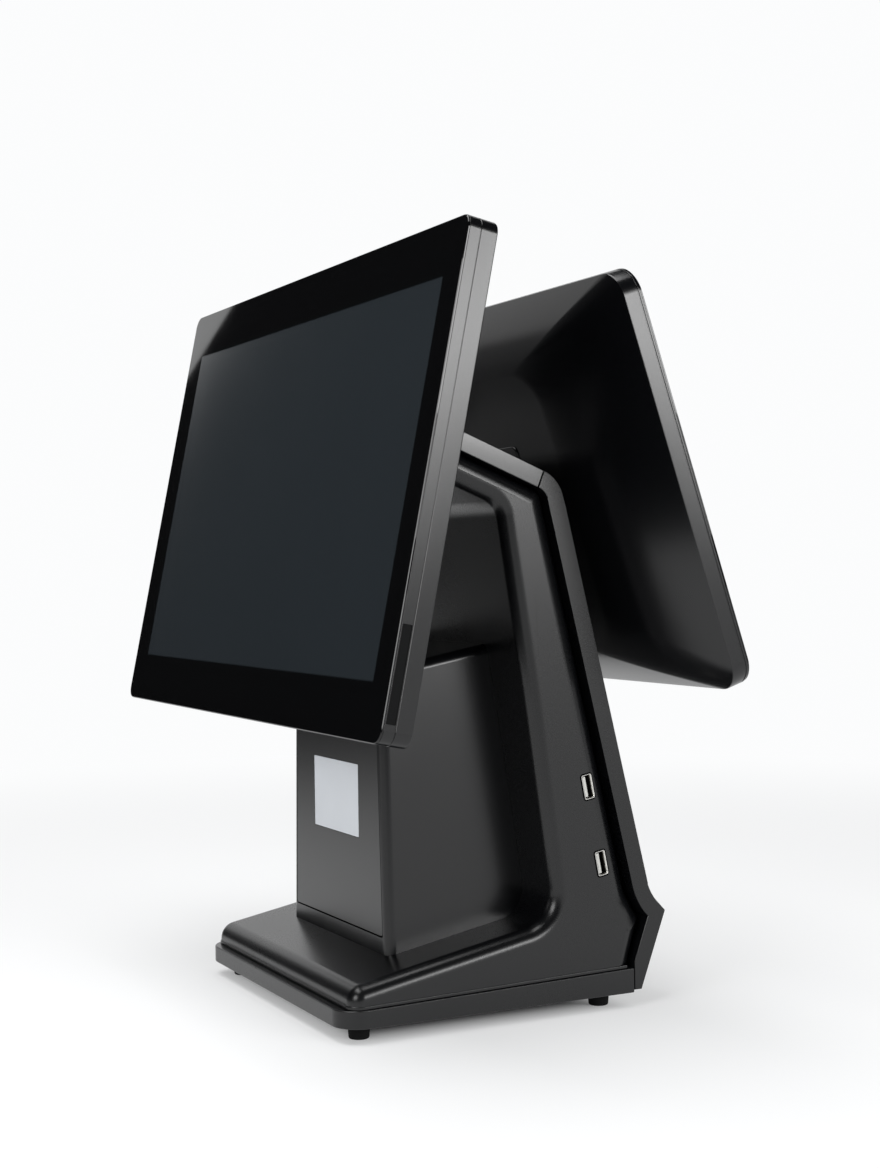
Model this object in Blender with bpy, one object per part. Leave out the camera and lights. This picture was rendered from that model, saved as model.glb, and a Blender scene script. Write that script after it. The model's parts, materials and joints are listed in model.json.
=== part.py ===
"""Dual-screen point-of-sale terminal.

A boot-shaped stand carries a large touch display at the front and a smaller customer display at
the back, each on its own friction hinge. A box under the main display holds the computer behind a
lift-off service door.

Axes: +X to the right of someone facing the main display, +Y to the back, +Z up. The stand is
drawn with Y = 0 at the front of its tray, and one empty moves the whole object so that the origin
is at the bottom centre of its box. Each display hangs on an empty on its hinge axis.
"""

import math

import bmesh
import bpy
from mathutils import Matrix, Vector

# Clearances, in metres like every length below
GAP = 0.0003
PANEL_GAP = 0.0006
HOLE_CLEARANCE = 0.0004
ARC_STEPS = 5

# Stand: overall width and walls
STAND_WIDTH = 0.204
SHELL_INSET = 0.0015
SHELL_WALL = 0.003
SHELL_SIDE_WALL = 0.0085
FRONT_EDGE_RADIUS = 0.0078
REAR_EDGE_RADIUS = 0.0055

# Feet and tray
FOOT_HEIGHT = 0.0082
FOOT_RADIUS = 0.006
FOOT_SIDE_INSET = 0.017
FOOT_FRONT_INSET = 0.016
FOOT_REAR_INSET = 0.013
TRAY_FRONT_HEIGHT = 0.0093
TRAY_REAR_HEIGHT = 0.0136
TRAY_CORNER_RADIUS = 0.015
TRAY_WALL = 0.0025
TRAY_FLOOR = 0.0025
BALLAST_THICKNESS = 0.004
BALLAST_MARGIN = 0.012

# Base top, column and arm, seen from the side
BASE_SETBACK = 0.0055
BASE_FRONT_TOP = 0.0285
BASE_SLOPE = math.radians(10.9)
COLUMN_FOOT_Y = 0.1268
COLUMN_FOOT_RADIUS = 0.018
COLUMN_BEND_Y = 0.1112
COLUMN_BEND_Z = 0.170
COLUMN_BEND_RADIUS = 0.8
ARM_CORNER_Y = 0.0950
ARM_CORNER_Z = 0.2749
ARM_CORNER_RADIUS = 0.012
ARM_LENGTH = 0.068

# Back and top covers, seen from the side
TOP_CORNER_Y = 0.1301
TOP_CORNER_Z = 0.28905
TOP_CORNER_RADIUS = 0.0175
TOP_SLOPE = math.radians(22.3)
BACK_SLOPE = math.radians(13.4)
FLARE_Z = 0.0618
FLARE_RADIUS = 0.022
FLARE_SLOPE = math.radians(43.5)
HEEL_Z = 0.0515
HEEL_SLOPE = math.radians(20.7)
HEEL_LIFT = 0.0015
COVER_DEPTH = 0.0097
COVER_WALL = 0.0025
COVER_FOOT = 0.0047
COVER_SEAM_RUN = 0.0100

# Computer box under the main display
BOX_WIDTH = 0.1334
BOX_FRONT = 0.0414
BOX_TOP_FRONT = 0.1877
BOX_TOP_SLOPE = math.radians(10.4)
BOX_DRAFT = math.radians(2.1)
BOX_CORNER_RADIUS = 0.0055
BOX_WALL = 0.0022
DOOR_SIDE_MARGIN = 0.006
DOOR_SILL = 0.0095
DOOR_HEAD = 0.006
DOOR_THICKNESS = 0.0024
DOOR_LEDGE = 0.003
DOOR_CORNER_RADIUS = 0.002
LABEL_WIDTH = 0.0615
LABEL_HEIGHT = 0.040
LABEL_BOTTOM = 0.0946
LABEL_THICKNESS = 0.0003
LABEL_POCKET = 0.0006

# Computer parts
BOARD_THICKNESS = 0.0016
MAINBOARD_SETBACK = 0.046
MAINBOARD_RISE = 0.012
MAINBOARD_HEIGHT = 0.125
SINK_SIDE = 0.044
SINK_BASE = 0.004
SINK_HEIGHT = 0.020
SINK_FINS = 7
SINK_FIN_THICKNESS = 0.0018
MEMORY_SIZE = (0.0676, 0.005, 0.030)
STORAGE_SIZE = (0.022, 0.0035, 0.060)

# Side sockets, power button and rear sockets
USB_SIZE = (0.0061, 0.0133)
USB_SHELL_WALL = 0.0005
USB_DEPTH = 0.013
USB_TONGUE = (0.0018, 0.0111)
USB_TONGUE_OFFSET = -0.0012
USB_UPPER = (0.1463, 0.1226)
USB_LOWER = (0.1542, 0.0806)
USB_PROUD = 0.0002
BUTTON_RADIUS = 0.0055
BUTTON_PROUD = 0.0018
BUTTON_TRAVEL = 0.0012
BUTTON_LENGTH = 0.013
BUTTON_PLACE = (0.1454, 0.1232)
SWITCH_SIZE = (0.004, 0.007, 0.007)
POWER_BOARD_SIDE = 0.018
REAR_SOCKET_DEPTH = 0.016
REAR_SOCKET_RECESS = 0.0015
IO_BOARD_SIZE = (0.088, 0.017)
SOCKET_WALL = 0.0014
LAN_SIZE = (0.0160, 0.0135)
DRAWER_SIZE = (0.0135, 0.0120)
POWER_INLET_SIZE = (0.0110, 0.0110)
SOCKET_PITCH = 0.026

# Steel frame inside the stand
SPINE_WIDTH = 0.080
SPINE_THICKNESS = 0.003
SPINE_KNEE_Z = 0.082
SPINE_FOOT_Y = 0.150
SPINE_BEND_RADIUS = 0.012

# Main display
MAIN_ACTIVE = (0.3442, 0.1936)
MAIN_BORDER = (0.0209, 0.02855)
MAIN_TILT = math.radians(11.66)
MAIN_GLASS = 0.0018
MAIN_BAND = 0.0058
MAIN_SEAM = 0.0008
MAIN_RIM = 0.0158
MAIN_DEPTH = 0.0318
MAIN_CORNER_RADIUS = 0.007
MAIN_BACK_MARGINS = (0.060, 0.060, 0.060)
MAIN_HINGE_RISE = 0.1568
MAIN_HINGE_STANDOFF = 0.0112
MAIN_HINGE_REACH = 0.009
MAIN_HINGE_DROP = 0.0125

# Customer display
CUSTOMER_ACTIVE = (0.2938, 0.1652)
CUSTOMER_BORDER = (0.0181, 0.03065)
CUSTOMER_TILT = math.radians(18.43)
CUSTOMER_GLASS = 0.0011
CUSTOMER_BAND = 0.0024
CUSTOMER_SEAM = 0.0006
CUSTOMER_RIM = 0.0115
CUSTOMER_DEPTH = 0.0285
CUSTOMER_CORNER_RADIUS = 0.014
CUSTOMER_BACK_MARGINS = (0.098, 0.026, 0.036)
CUSTOMER_HINGE_RISE = 0.1014
CUSTOMER_HINGE_STANDOFF = 0.0095
CUSTOMER_HINGE_Z = 0.262
CUSTOMER_HINGE_OUT = 0.006
REAR_COVER_SIZE = (0.092, 0.118)
REAR_COVER_BOTTOM = 0.030
REAR_COVER_PROUD = 0.003

# Both displays
DISPLAY_WALL = 0.0022
DISPLAY_SEAM_INSET = 0.0015
BACK_CORNER_RADIUS = 0.024
BACK_SWELL = 1.8
PANEL_FRAME = 0.004
PANEL_THICKNESS = 0.006
DRIVER_BOARD_SIZE = (0.120, 0.055)

# Hinges: lugs, pins and washers
WASHER_THICKNESS = 0.0008
PIN_CLEARANCE = 0.0003
PIN_END = 0.003
MAIN_PIN_RADIUS = 0.0025
MAIN_LUG_RADIUS = 0.005
MAIN_LUG_THICKNESS = 0.004
MAIN_LUG_X = 0.042
MAIN_MOUNT_SIZE = (0.124, 0.090)
MAIN_MOUNT_THICKNESS = 0.002
MAIN_BRACKET_LENGTH = 0.026
CUSTOMER_PIN_RADIUS = 0.0016
CUSTOMER_LUG_RADIUS = 0.0037
CUSTOMER_LUG_THICKNESS = 0.004
CUSTOMER_LUG_X = 0.030
CUSTOMER_MOUNT_SIZE = (0.090, 0.044)
CUSTOMER_MOUNT_THICKNESS = 0.0015
CUSTOMER_BRACKET_HEIGHT = 0.030

# Finishes: colour, roughness, metallic
BLACK_PLASTIC = ((0.012, 0.012, 0.013), 0.38, 0.0)
BLACK_GLASS = ((0.004, 0.005, 0.006), 0.06, 0.0)
PANEL_GREY = ((0.022, 0.027, 0.031), 0.30, 0.0)
RUBBER = ((0.010, 0.010, 0.010), 0.80, 0.0)
BRIGHT_STEEL = ((0.70, 0.70, 0.68), 0.25, 1.0)
DARK_STEEL = ((0.16, 0.16, 0.17), 0.45, 1.0)
ALUMINIUM = ((0.55, 0.56, 0.58), 0.35, 1.0)
BOARD_GREEN = ((0.010, 0.060, 0.030), 0.50, 0.0)
LABEL_WHITE = ((0.70, 0.71, 0.72), 0.45, 0.0)
WHITE_PLASTIC = ((0.55, 0.55, 0.53), 0.45, 0.0)

# Places worked out from the sizes above, as (y, z) in the stand's own frame
ARM_DIRECTION = Vector((-math.cos(TOP_SLOPE), math.sin(TOP_SLOPE)))
ARM_NORMAL = Vector((math.sin(TOP_SLOPE), math.cos(TOP_SLOPE)))
BACK_NORMAL = Vector((math.cos(BACK_SLOPE), math.sin(BACK_SLOPE)))
TOP_CORNER = Vector((TOP_CORNER_Y, TOP_CORNER_Z))
ARM_END_TOP = TOP_CORNER + ARM_DIRECTION * ARM_LENGTH
MAIN_AXIS = ARM_END_TOP + ARM_DIRECTION * MAIN_HINGE_REACH - ARM_NORMAL * MAIN_HINGE_DROP
FLARE_Y = TOP_CORNER_Y + (TOP_CORNER_Z - FLARE_Z) * math.tan(BACK_SLOPE)
HEEL_Y = FLARE_Y + (FLARE_Z - HEEL_Z) * math.tan(FLARE_SLOPE)
HEEL_BOTTOM_Z = FOOT_HEIGHT + HEEL_LIFT
HEEL_BOTTOM_Y = HEEL_Y - (HEEL_Z - HEEL_BOTTOM_Z) * math.tan(HEEL_SLOPE)
TRAY_DEPTH = HEEL_BOTTOM_Y - COVER_FOOT
CUSTOMER_AXIS = (
    Vector((TOP_CORNER_Y + (TOP_CORNER_Z - CUSTOMER_HINGE_Z) * math.tan(BACK_SLOPE), CUSTOMER_HINGE_Z))
    + BACK_NORMAL * CUSTOMER_HINGE_OUT
)
HALF_STAND = STAND_WIDTH / 2
HALF_SHELL = HALF_STAND - SHELL_INSET
HALF_SPINE = SPINE_WIDTH / 2
BALLAST_Z = FOOT_HEIGHT + TRAY_FLOOR + GAP
IO_BOARD_Z = FOOT_HEIGHT + TRAY_REAR_HEIGHT + GAP
SOCKET_Z = IO_BOARD_Z + BOARD_THICKNESS + GAP
BUTTON_BACK_X = -HALF_SHELL - BUTTON_PROUD + BUTTON_LENGTH
POWER_BOARD_X = BUTTON_BACK_X + BUTTON_TRAVEL + GAP + SWITCH_SIZE[0] + GAP
MAIN_LUGS = (MAIN_LUG_RADIUS, MAIN_PIN_RADIUS, MAIN_LUG_X, MAIN_LUG_THICKNESS)
CUSTOMER_LUGS = (CUSTOMER_LUG_RADIUS, CUSTOMER_PIN_RADIUS, CUSTOMER_LUG_X, CUSTOMER_LUG_THICKNESS)
REAR_SOCKETS = (
    ("lan_socket", LAN_SIZE, SOCKET_PITCH),
    ("drawer_socket", DRAWER_SIZE, 0.0),
    ("power_inlet", POWER_INLET_SIZE, -SOCKET_PITCH),
)


def line_z(start_z, slope, run):
    """Height of a line that leaves start_z and climbs at the slope over the run."""
    return start_z + math.tan(slope) * run


def seam_z(y):
    """Height of the tray's upper edge at a depth in the stand."""
    climb = (TRAY_REAR_HEIGHT - TRAY_FRONT_HEIGHT) * y / TRAY_DEPTH
    return FOOT_HEIGHT + TRAY_FRONT_HEIGHT + climb


def base_top_z(y):
    """Height of the base's sloping top at a depth in the stand."""
    return line_z(BASE_FRONT_TOP, BASE_SLOPE, y - BASE_SETBACK)


def rounded(corners, closed=True, steps=ARC_STEPS):
    """Path through corners given as (a, b, radius), with an arc of that radius at each."""
    points = []
    for i, (a, b, radius) in enumerate(corners):
        here = Vector((a, b))
        at_end = not closed and i in (0, len(corners) - 1)
        if radius == 0 or at_end:
            points.append(here)
            continue
        back = (Vector(corners[i - 1][:2]) - here).normalized()
        ahead = (Vector(corners[(i + 1) % len(corners)][:2]) - here).normalized()
        half = back.angle(ahead) / 2
        centre = here + (back + ahead).normalized() * radius / math.sin(half)
        start = here + back * radius / math.tan(half) - centre
        end = here + ahead * radius / math.tan(half) - centre
        turn = -start.angle_signed(end)
        for k in range(steps + 1):
            points.append(centre + Matrix.Rotation(turn * k / steps, 2) @ start)
    return points


def rounded_box(width, height, radius, centre=(0.0, 0.0)):
    """Rounded rectangle about a centre, drawn anticlockwise."""
    a, b = width / 2, height / 2
    corners = [(-a, -b), (a, -b), (a, b), (-a, b)]
    return rounded([(x + centre[0], z + centre[1], radius) for x, z in corners])


def parallel(path, distance):
    """Open path moved sideways, to the left of its direction where distance is positive."""
    runs = [(b - a).normalized() for a, b in zip(path, path[1:])]
    sides = [Vector((-run.y, run.x)) for run in runs]
    moved = []
    for i, point in enumerate(path):
        first = sides[max(i - 1, 0)]
        second = sides[min(i, len(sides) - 1)]
        middle = (first + second).normalized()
        moved.append(point + middle * distance / middle.dot(first))
    return moved


def crossing(path, start, direction):
    """Index of the path segment that a line crosses, and the point where it does."""
    normal = Vector((-direction.y, direction.x))
    for i, (a, b) in enumerate(zip(path, path[1:])):
        from_a, from_b = (a - start).dot(normal), (b - start).dot(normal)
        if from_a * from_b <= 0 and from_a != from_b:
            return i, a.lerp(b, from_a / (from_a - from_b))
    raise ValueError("the line misses the path")


def prism(outline, axis, low, high):
    """Solid made by pushing a flat outline along an axis; it holds the other two coordinates."""
    place = {
        "X": lambda a, b, c: (c, a, b),
        "Y": lambda a, b, c: (a, c, b),
        "Z": lambda a, b, c: (a, b, c),
    }[axis]
    bm = bmesh.new()
    face = bm.faces.new([bm.verts.new(place(a, b, low)) for a, b in outline])
    pushed = bmesh.ops.extrude_face_region(bm, geom=[face])["geom"]
    moved = [item for item in pushed if isinstance(item, bmesh.types.BMVert)]
    bmesh.ops.translate(bm, verts=moved, vec=place(0, 0, high - low))
    bmesh.ops.recalc_face_normals(bm, faces=bm.faces)
    return bm


def block(low, high):
    """Box between two opposite corners."""
    size = Vector(high) - Vector(low)
    bm = bmesh.new()
    bmesh.ops.create_cube(bm, size=1)
    bmesh.ops.scale(bm, vec=size, verts=bm.verts)
    bmesh.ops.translate(bm, vec=Vector(low) + size / 2, verts=bm.verts)
    return bm


def rod(radius, axis, low, high, across, segments=24):
    """Cylinder along an axis between two values; across holds the other two coordinates."""
    turn = {"X": Matrix.Rotation(math.pi / 2, 3, "Y"), "Y": Matrix.Rotation(math.pi / 2, 3, "X"),
            "Z": Matrix.Identity(3)}[axis]
    a, b = across
    middle = (low + high) / 2
    centre = {"X": (middle, a, b), "Y": (a, middle, b), "Z": (a, b, middle)}[axis]
    bm = bmesh.new()
    bmesh.ops.create_cone(
        bm, cap_ends=True, segments=segments, radius1=radius, radius2=radius, depth=high - low
    )
    bmesh.ops.rotate(bm, verts=bm.verts, matrix=turn)
    bmesh.ops.translate(bm, verts=bm.verts, vec=centre)
    return bm


def material(name, finish):
    """Principled material with the colour, roughness and metallic value of a finish."""
    colour, roughness, metallic = finish
    made = bpy.data.materials.new(name + "_finish")
    made.use_nodes = True
    shader = made.node_tree.nodes["Principled BSDF"]
    shader.inputs["Base Color"].default_value = (*colour, 1.0)
    shader.inputs["Roughness"].default_value = roughness
    shader.inputs["Metallic"].default_value = metallic
    return made


def add(name, bm, parent, finish=BLACK_PLASTIC):
    """Named object with its own finish, under a parent empty."""
    mesh = bpy.data.meshes.new(name)
    bm.to_mesh(mesh)
    bm.free()
    mesh.shade_smooth()
    mesh.set_sharp_from_angle(angle=math.radians(30))
    mesh.materials.append(material(name, finish))
    made = bpy.data.objects.new(name, mesh)
    bpy.context.collection.objects.link(made)
    made.parent = parent
    return made


def cutter(name, bm, parent):
    """Hidden solid that a Boolean uses."""
    made = add("cut_" + name, bm, parent)
    made.hide_render = True
    made.display_type = "WIRE"
    return made


def combine(target, other, operation="DIFFERENCE"):
    """Boolean between a piece and a hidden solid."""
    boolean = target.modifiers.new(other.name, "BOOLEAN")
    boolean.operation = operation
    boolean.solver = "EXACT"
    boolean.object = other


def empty(name, place, parent=None, rotation=(0, 0, 0)):
    """Empty that carries pieces."""
    made = bpy.data.objects.new(name, None)
    bpy.context.collection.objects.link(made)
    made.location = place
    made.rotation_euler = rotation
    made.parent = parent
    return made


def soften(target, radius, segments=3):
    """Rounded edges where the bevel weight says so."""
    bevel = target.modifiers.new("soft_edges", "BEVEL")
    bevel.limit_method = "WEIGHT"
    bevel.width = radius
    bevel.segments = segments
    bevel.use_clamp_overlap = False


def weigh_edges(bm, weight_of):
    """Sets each edge's bevel weight from a function of the edge."""
    layer = bm.edges.layers.float.new("bevel_weight_edge")
    for edge in bm.edges:
        edge[layer] = weight_of(edge)


def front_path():
    """Front of the shell from the tray up to the arm's end, as (y, z) points."""
    climb = (ARM_END_TOP - Vector((ARM_CORNER_Y, ARM_CORNER_Z))).dot(ARM_DIRECTION)
    arm_end = Vector((ARM_CORNER_Y, ARM_CORNER_Z)) + ARM_DIRECTION * climb
    return rounded(
        [
            (BASE_SETBACK, seam_z(BASE_SETBACK) + GAP, 0),
            (BASE_SETBACK, BASE_FRONT_TOP, 0),
            (COLUMN_FOOT_Y, base_top_z(COLUMN_FOOT_Y), COLUMN_FOOT_RADIUS),
            (COLUMN_BEND_Y, COLUMN_BEND_Z, COLUMN_BEND_RADIUS),
            (ARM_CORNER_Y, ARM_CORNER_Z, ARM_CORNER_RADIUS),
            (arm_end.x, arm_end.y, 0),
        ],
        closed=False,
    )


def back_path(inset=0.0):
    """Outside of the covers from the arm's end over the back to the heel's foot, or inside it."""
    corners = [
        ARM_END_TOP,
        TOP_CORNER,
        Vector((FLARE_Y, FLARE_Z)),
        Vector((HEEL_Y, HEEL_Z)),
        Vector((HEEL_BOTTOM_Y, HEEL_BOTTOM_Z)),
    ]
    radii = [0, TOP_CORNER_RADIUS - inset, FLARE_RADIUS + inset, 0, 0]
    corners = parallel(corners, -inset)
    return rounded([(*corner, radius) for corner, radius in zip(corners, radii)], closed=False)


def until(path, start, direction):
    """Path cut off where a line first crosses it."""
    index, point = crossing(path, start, direction)
    return path[: index + 1] + [point]


def shell_outline(inset=0.0):
    """Side outline of the shell; with an inset, of the hollow that opens it behind and below."""
    front = parallel(front_path(), -inset)
    rear = back_path(COVER_DEPTH / 2 if inset else COVER_DEPTH + GAP)
    drop = COVER_DEPTH if inset else 0
    rear = until(rear, Vector((0, seam_z(TRAY_DEPTH) + GAP - drop)), Vector((1, 0)))
    front[0] = Vector((front[0].x, front[0].y - drop))
    front[-1] -= ARM_DIRECTION * inset
    rear[0] -= ARM_DIRECTION * inset
    return front + rear


def shell_solid(outline, half_width, rear_weight):
    """Boot-shaped solid with weights on the side edges that are rounded."""
    bm = prism(outline, "X", -half_width, half_width)
    order = {(round(p.x, 6), round(p.y, 6)): i for i, p in enumerate(outline)}
    front_count = len(front_path())

    def weight(edge):
        first, second = sorted(order[round(v.co.y, 6), round(v.co.z, 6)] for v in edge.verts)
        if first == second:
            return 1.0 if first == 1 else 0.0
        if second < front_count:
            return 1.0
        return rear_weight if first >= front_count else 0.0

    weigh_edges(bm, weight)
    return bm


def stand_shell(parent):
    """Front shell of the stand: base top, column and arm in one moulding, open behind and below."""
    solid = shell_solid(shell_outline(), HALF_SHELL, REAR_EDGE_RADIUS / FRONT_EDGE_RADIUS)
    shell = add("stand_shell", solid, parent)
    soften(shell, FRONT_EDGE_RADIUS)
    hollow = shell_solid(shell_outline(SHELL_WALL), HALF_SHELL - SHELL_SIDE_WALL, 0.0)
    hollow = cutter("shell_hollow", hollow, parent)
    soften(hollow, FRONT_EDGE_RADIUS - SHELL_WALL, 2)
    combine(shell, hollow)
    y, z = BUTTON_PLACE
    half = POWER_BOARD_SIDE / 2
    shelf = block(
        (-HALF_SHELL + SHELL_SIDE_WALL / 2, y - half, z - half - SHELL_WALL),
        (POWER_BOARD_X + BOARD_THICKNESS + GAP, y + half, z - half - GAP),
    )
    combine(shell, cutter("power_shelf", shelf, parent), "UNION")
    outer, inner = -HALF_STAND - BUTTON_PROUD, -HALF_SHELL + SHELL_SIDE_WALL * 2
    hole = rod(BUTTON_RADIUS + HOLE_CLEARANCE, "X", outer, inner, (y, z))
    combine(shell, cutter("button_hole", hole, parent))
    return shell


def base_tray(parent):
    """Shallow tray that closes the base from below."""

    def solid(inset, low, lift):
        outline = [
            (inset, low),
            (TRAY_DEPTH - inset, low),
            (TRAY_DEPTH - inset, seam_z(TRAY_DEPTH) + lift),
            (inset, seam_z(0) + lift),
        ]
        bm = prism(outline, "X", inset - HALF_STAND, HALF_STAND - inset)
        corners = [e for e in bm.edges if all(v.co.y < inset + GAP for v in e.verts)]
        corners = [e for e in corners if abs(e.verts[0].co.x - e.verts[1].co.x) < GAP]
        bmesh.ops.bevel(
            bm, geom=corners, offset=TRAY_CORNER_RADIUS - inset, offset_type="OFFSET",
            segments=ARC_STEPS, profile=0.5, affect="EDGES", material=-1,
        )
        return bm

    tray = add("base_tray", solid(0, FOOT_HEIGHT, 0), parent)
    hollow = solid(TRAY_WALL, FOOT_HEIGHT + TRAY_FLOOR, TRAY_FLOOR)
    combine(tray, cutter("tray_hollow", hollow, parent))


def feet(parent):
    """Four rubber feet under the tray."""
    side = HALF_STAND - FOOT_SIDE_INSET
    rows = (("front", FOOT_FRONT_INSET), ("rear", TRAY_DEPTH - FOOT_REAR_INSET))
    for row, y in rows:
        for hand, x in (("left", -side), ("right", side)):
            foot = rod(FOOT_RADIUS, "Z", 0, FOOT_HEIGHT - GAP, (x, y))
            add(f"foot_{row}_{hand}", foot, parent, RUBBER)


def ballast_plate(parent):
    """Steel weight on the tray's floor."""
    side = HALF_STAND - TRAY_WALL - BALLAST_MARGIN
    rear = TRAY_DEPTH - TRAY_WALL - BALLAST_MARGIN
    high = BALLAST_Z + BALLAST_THICKNESS
    plate = block((-side, TRAY_WALL + BALLAST_MARGIN, BALLAST_Z), (side, rear, high))
    add("ballast_plate", plate, parent, DARK_STEEL)


def arm_point(along, deep):
    """Place in the arm, as (y, z): along its direction from its end, and deep under its top."""
    return ARM_END_TOP + ARM_DIRECTION * along - ARM_NORMAL * deep


def hollow_cover(plate, rim, deep, parent):
    """Hollows a cover plate between two paths, and leaves walls at its sides."""
    half = HALF_STAND - COVER_WALL
    hollow = prism(rim + deep[::-1], "X", -half, half)
    combine(plate, cutter(plate.name + "_hollow", hollow, parent))


def top_cover(parent):
    """Cover over the arm."""
    length = ARM_LENGTH - COVER_SEAM_RUN - GAP
    corners = [(0, 0), (-length, 0), (-length, COVER_DEPTH), (0, COVER_DEPTH)]
    outline = [arm_point(along, deep) for along, deep in corners]
    made = add("top_cover", prism(outline, "X", -HALF_STAND, HALF_STAND), parent)
    ends = (-COVER_WALL, COVER_WALL - length)
    rim = [arm_point(end, COVER_WALL) for end in ends]
    deep = [arm_point(end, COVER_DEPTH + COVER_WALL) for end in ends]
    hollow_cover(made, rim, deep, parent)
    return made


def cover_path(inset, end_wall=0.0):
    """Path of the back cover from its seam with the top cover down to the heel's foot."""
    path = back_path(inset)
    path[0] = TOP_CORNER + ARM_DIRECTION * (COVER_SEAM_RUN - end_wall) - ARM_NORMAL * inset
    return path


def back_cover(parent):
    """Cover down the back of the column, ending in the heel that holds the rear sockets."""
    inner = cover_path(COVER_DEPTH)
    heel = max(range(len(inner)), key=lambda i: inner[i].x)
    seam_y = TRAY_DEPTH + GAP
    inner = inner[:heel] + until(inner[heel:], Vector((seam_y, 0)), Vector((0, 1)))
    inner.append(Vector((seam_y, HEEL_BOTTOM_Z)))
    made = add("back_cover", prism(cover_path(0) + inner[::-1], "X", -HALF_STAND, HALF_STAND), parent)
    low = Vector((0, SOCKET_Z - BOARD_THICKNESS)), Vector((1, 0))
    end_wall = COVER_WALL / 4
    rim = until(cover_path(COVER_WALL, end_wall), *low)
    deep = until(cover_path(COVER_DEPTH + PANEL_GAP, end_wall), *low)
    hollow_cover(made, rim, deep, parent)
    for name, size, x in REAR_SOCKETS:
        a, b = size[0] / 2 + HOLE_CLEARANCE, size[1] + HOLE_CLEARANCE
        low = (x - a, TRAY_DEPTH + GAP, SOCKET_Z - HOLE_CLEARANCE)
        hole = block(low, (x + a, HEEL_Y + COVER_DEPTH, SOCKET_Z + b))
        combine(made, cutter(name + "_hole", hole, parent))


def box_half(z):
    """Half the width of the computer box at a height: it narrows upward."""
    return BOX_WIDTH / 2 - math.tan(BOX_DRAFT) * (z - base_top_z(BOX_FRONT))


def box_outline(inset=0.0, front=BOX_FRONT):
    """Side outline of the computer box, which stands on the base and backs onto the column."""
    path = parallel(front_path(), GAP + inset)[1:]
    up, across = Vector((0, 1)), Vector((math.cos(BOX_TOP_SLOPE), math.sin(BOX_TOP_SLOPE)))
    top = Vector((BOX_FRONT, BOX_TOP_FRONT - inset))
    start, low = crossing(path, Vector((front, 0)), up)
    path = until([low] + path[start + 1 :], top, across)
    return path + [top + across * (front - BOX_FRONT) / across.x]


def box_solid(outline, margin):
    """Solid of the computer box, narrowing upward, with its sides a margin inside the box's own."""
    bm = prism(outline, "X", -1, 1)
    for vert in bm.verts:
        vert.co.x *= box_half(vert.co.z) - margin
    return bm


def door_outline(grow):
    """Front outline of the service door, or of its opening where it grows or shrinks."""
    low = base_top_z(BOX_FRONT) + DOOR_SILL - grow
    high = BOX_TOP_FRONT - DOOR_HEAD + grow
    corners = [(-1, low), (1, low), (1, high), (-1, high)]
    radius = DOOR_CORNER_RADIUS
    return rounded([(s * (box_half(z) - DOOR_SIDE_MARGIN + grow), z, radius) for s, z in corners])


def computer_box(parent):
    """Box that holds the computer, open in front for the service door."""
    bm = box_solid(box_outline(), 0)
    fronts = [e for e in bm.edges if all(abs(v.co.y - BOX_FRONT) < GAP for v in e.verts)]
    fronts = [e for e in fronts if abs(e.verts[0].co.z - e.verts[1].co.z) > BOX_CORNER_RADIUS]
    bmesh.ops.bevel(
        bm, geom=fronts, offset=BOX_CORNER_RADIUS, offset_type="OFFSET",
        segments=ARC_STEPS, profile=0.5, affect="EDGES", material=-1,
    )
    box = add("computer_box", bm, parent)
    rebate = prism(door_outline(PANEL_GAP), "Y", BOX_FRONT - GAP, BOX_FRONT + DOOR_THICKNESS + GAP)
    mouth_back = BOX_FRONT + DOOR_THICKNESS + DOOR_LEDGE
    mouth = prism(door_outline(-DOOR_LEDGE), "Y", BOX_FRONT - GAP, mouth_back + BOX_WALL)
    inside = box_solid(box_outline(BOX_WALL, mouth_back), BOX_WALL)
    for name, bm in (("door_rebate", rebate), ("door_mouth", mouth), ("box_hollow", inside)):
        combine(box, cutter(name, bm, parent))


def service_door(parent):
    """Lift-off door of the computer box, with a shallow pocket for its blank label."""
    door = prism(door_outline(0), "Y", BOX_FRONT, BOX_FRONT + DOOR_THICKNESS)
    door = add("service_door", door, parent)
    middle = (0, LABEL_BOTTOM + LABEL_HEIGHT / 2)
    clearance = 2 * GAP
    pocket = rounded_box(LABEL_WIDTH + clearance, LABEL_HEIGHT + clearance, GAP * 2, middle)
    pocket = prism(pocket, "Y", BOX_FRONT - GAP, BOX_FRONT + LABEL_POCKET)
    combine(door, cutter("label_pocket", pocket, parent))
    label = rounded_box(LABEL_WIDTH, LABEL_HEIGHT, GAP, middle)
    label = prism(label, "Y", BOX_FRONT, BOX_FRONT + LABEL_THICKNESS)
    add("service_label", label, parent, LABEL_WHITE)


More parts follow.
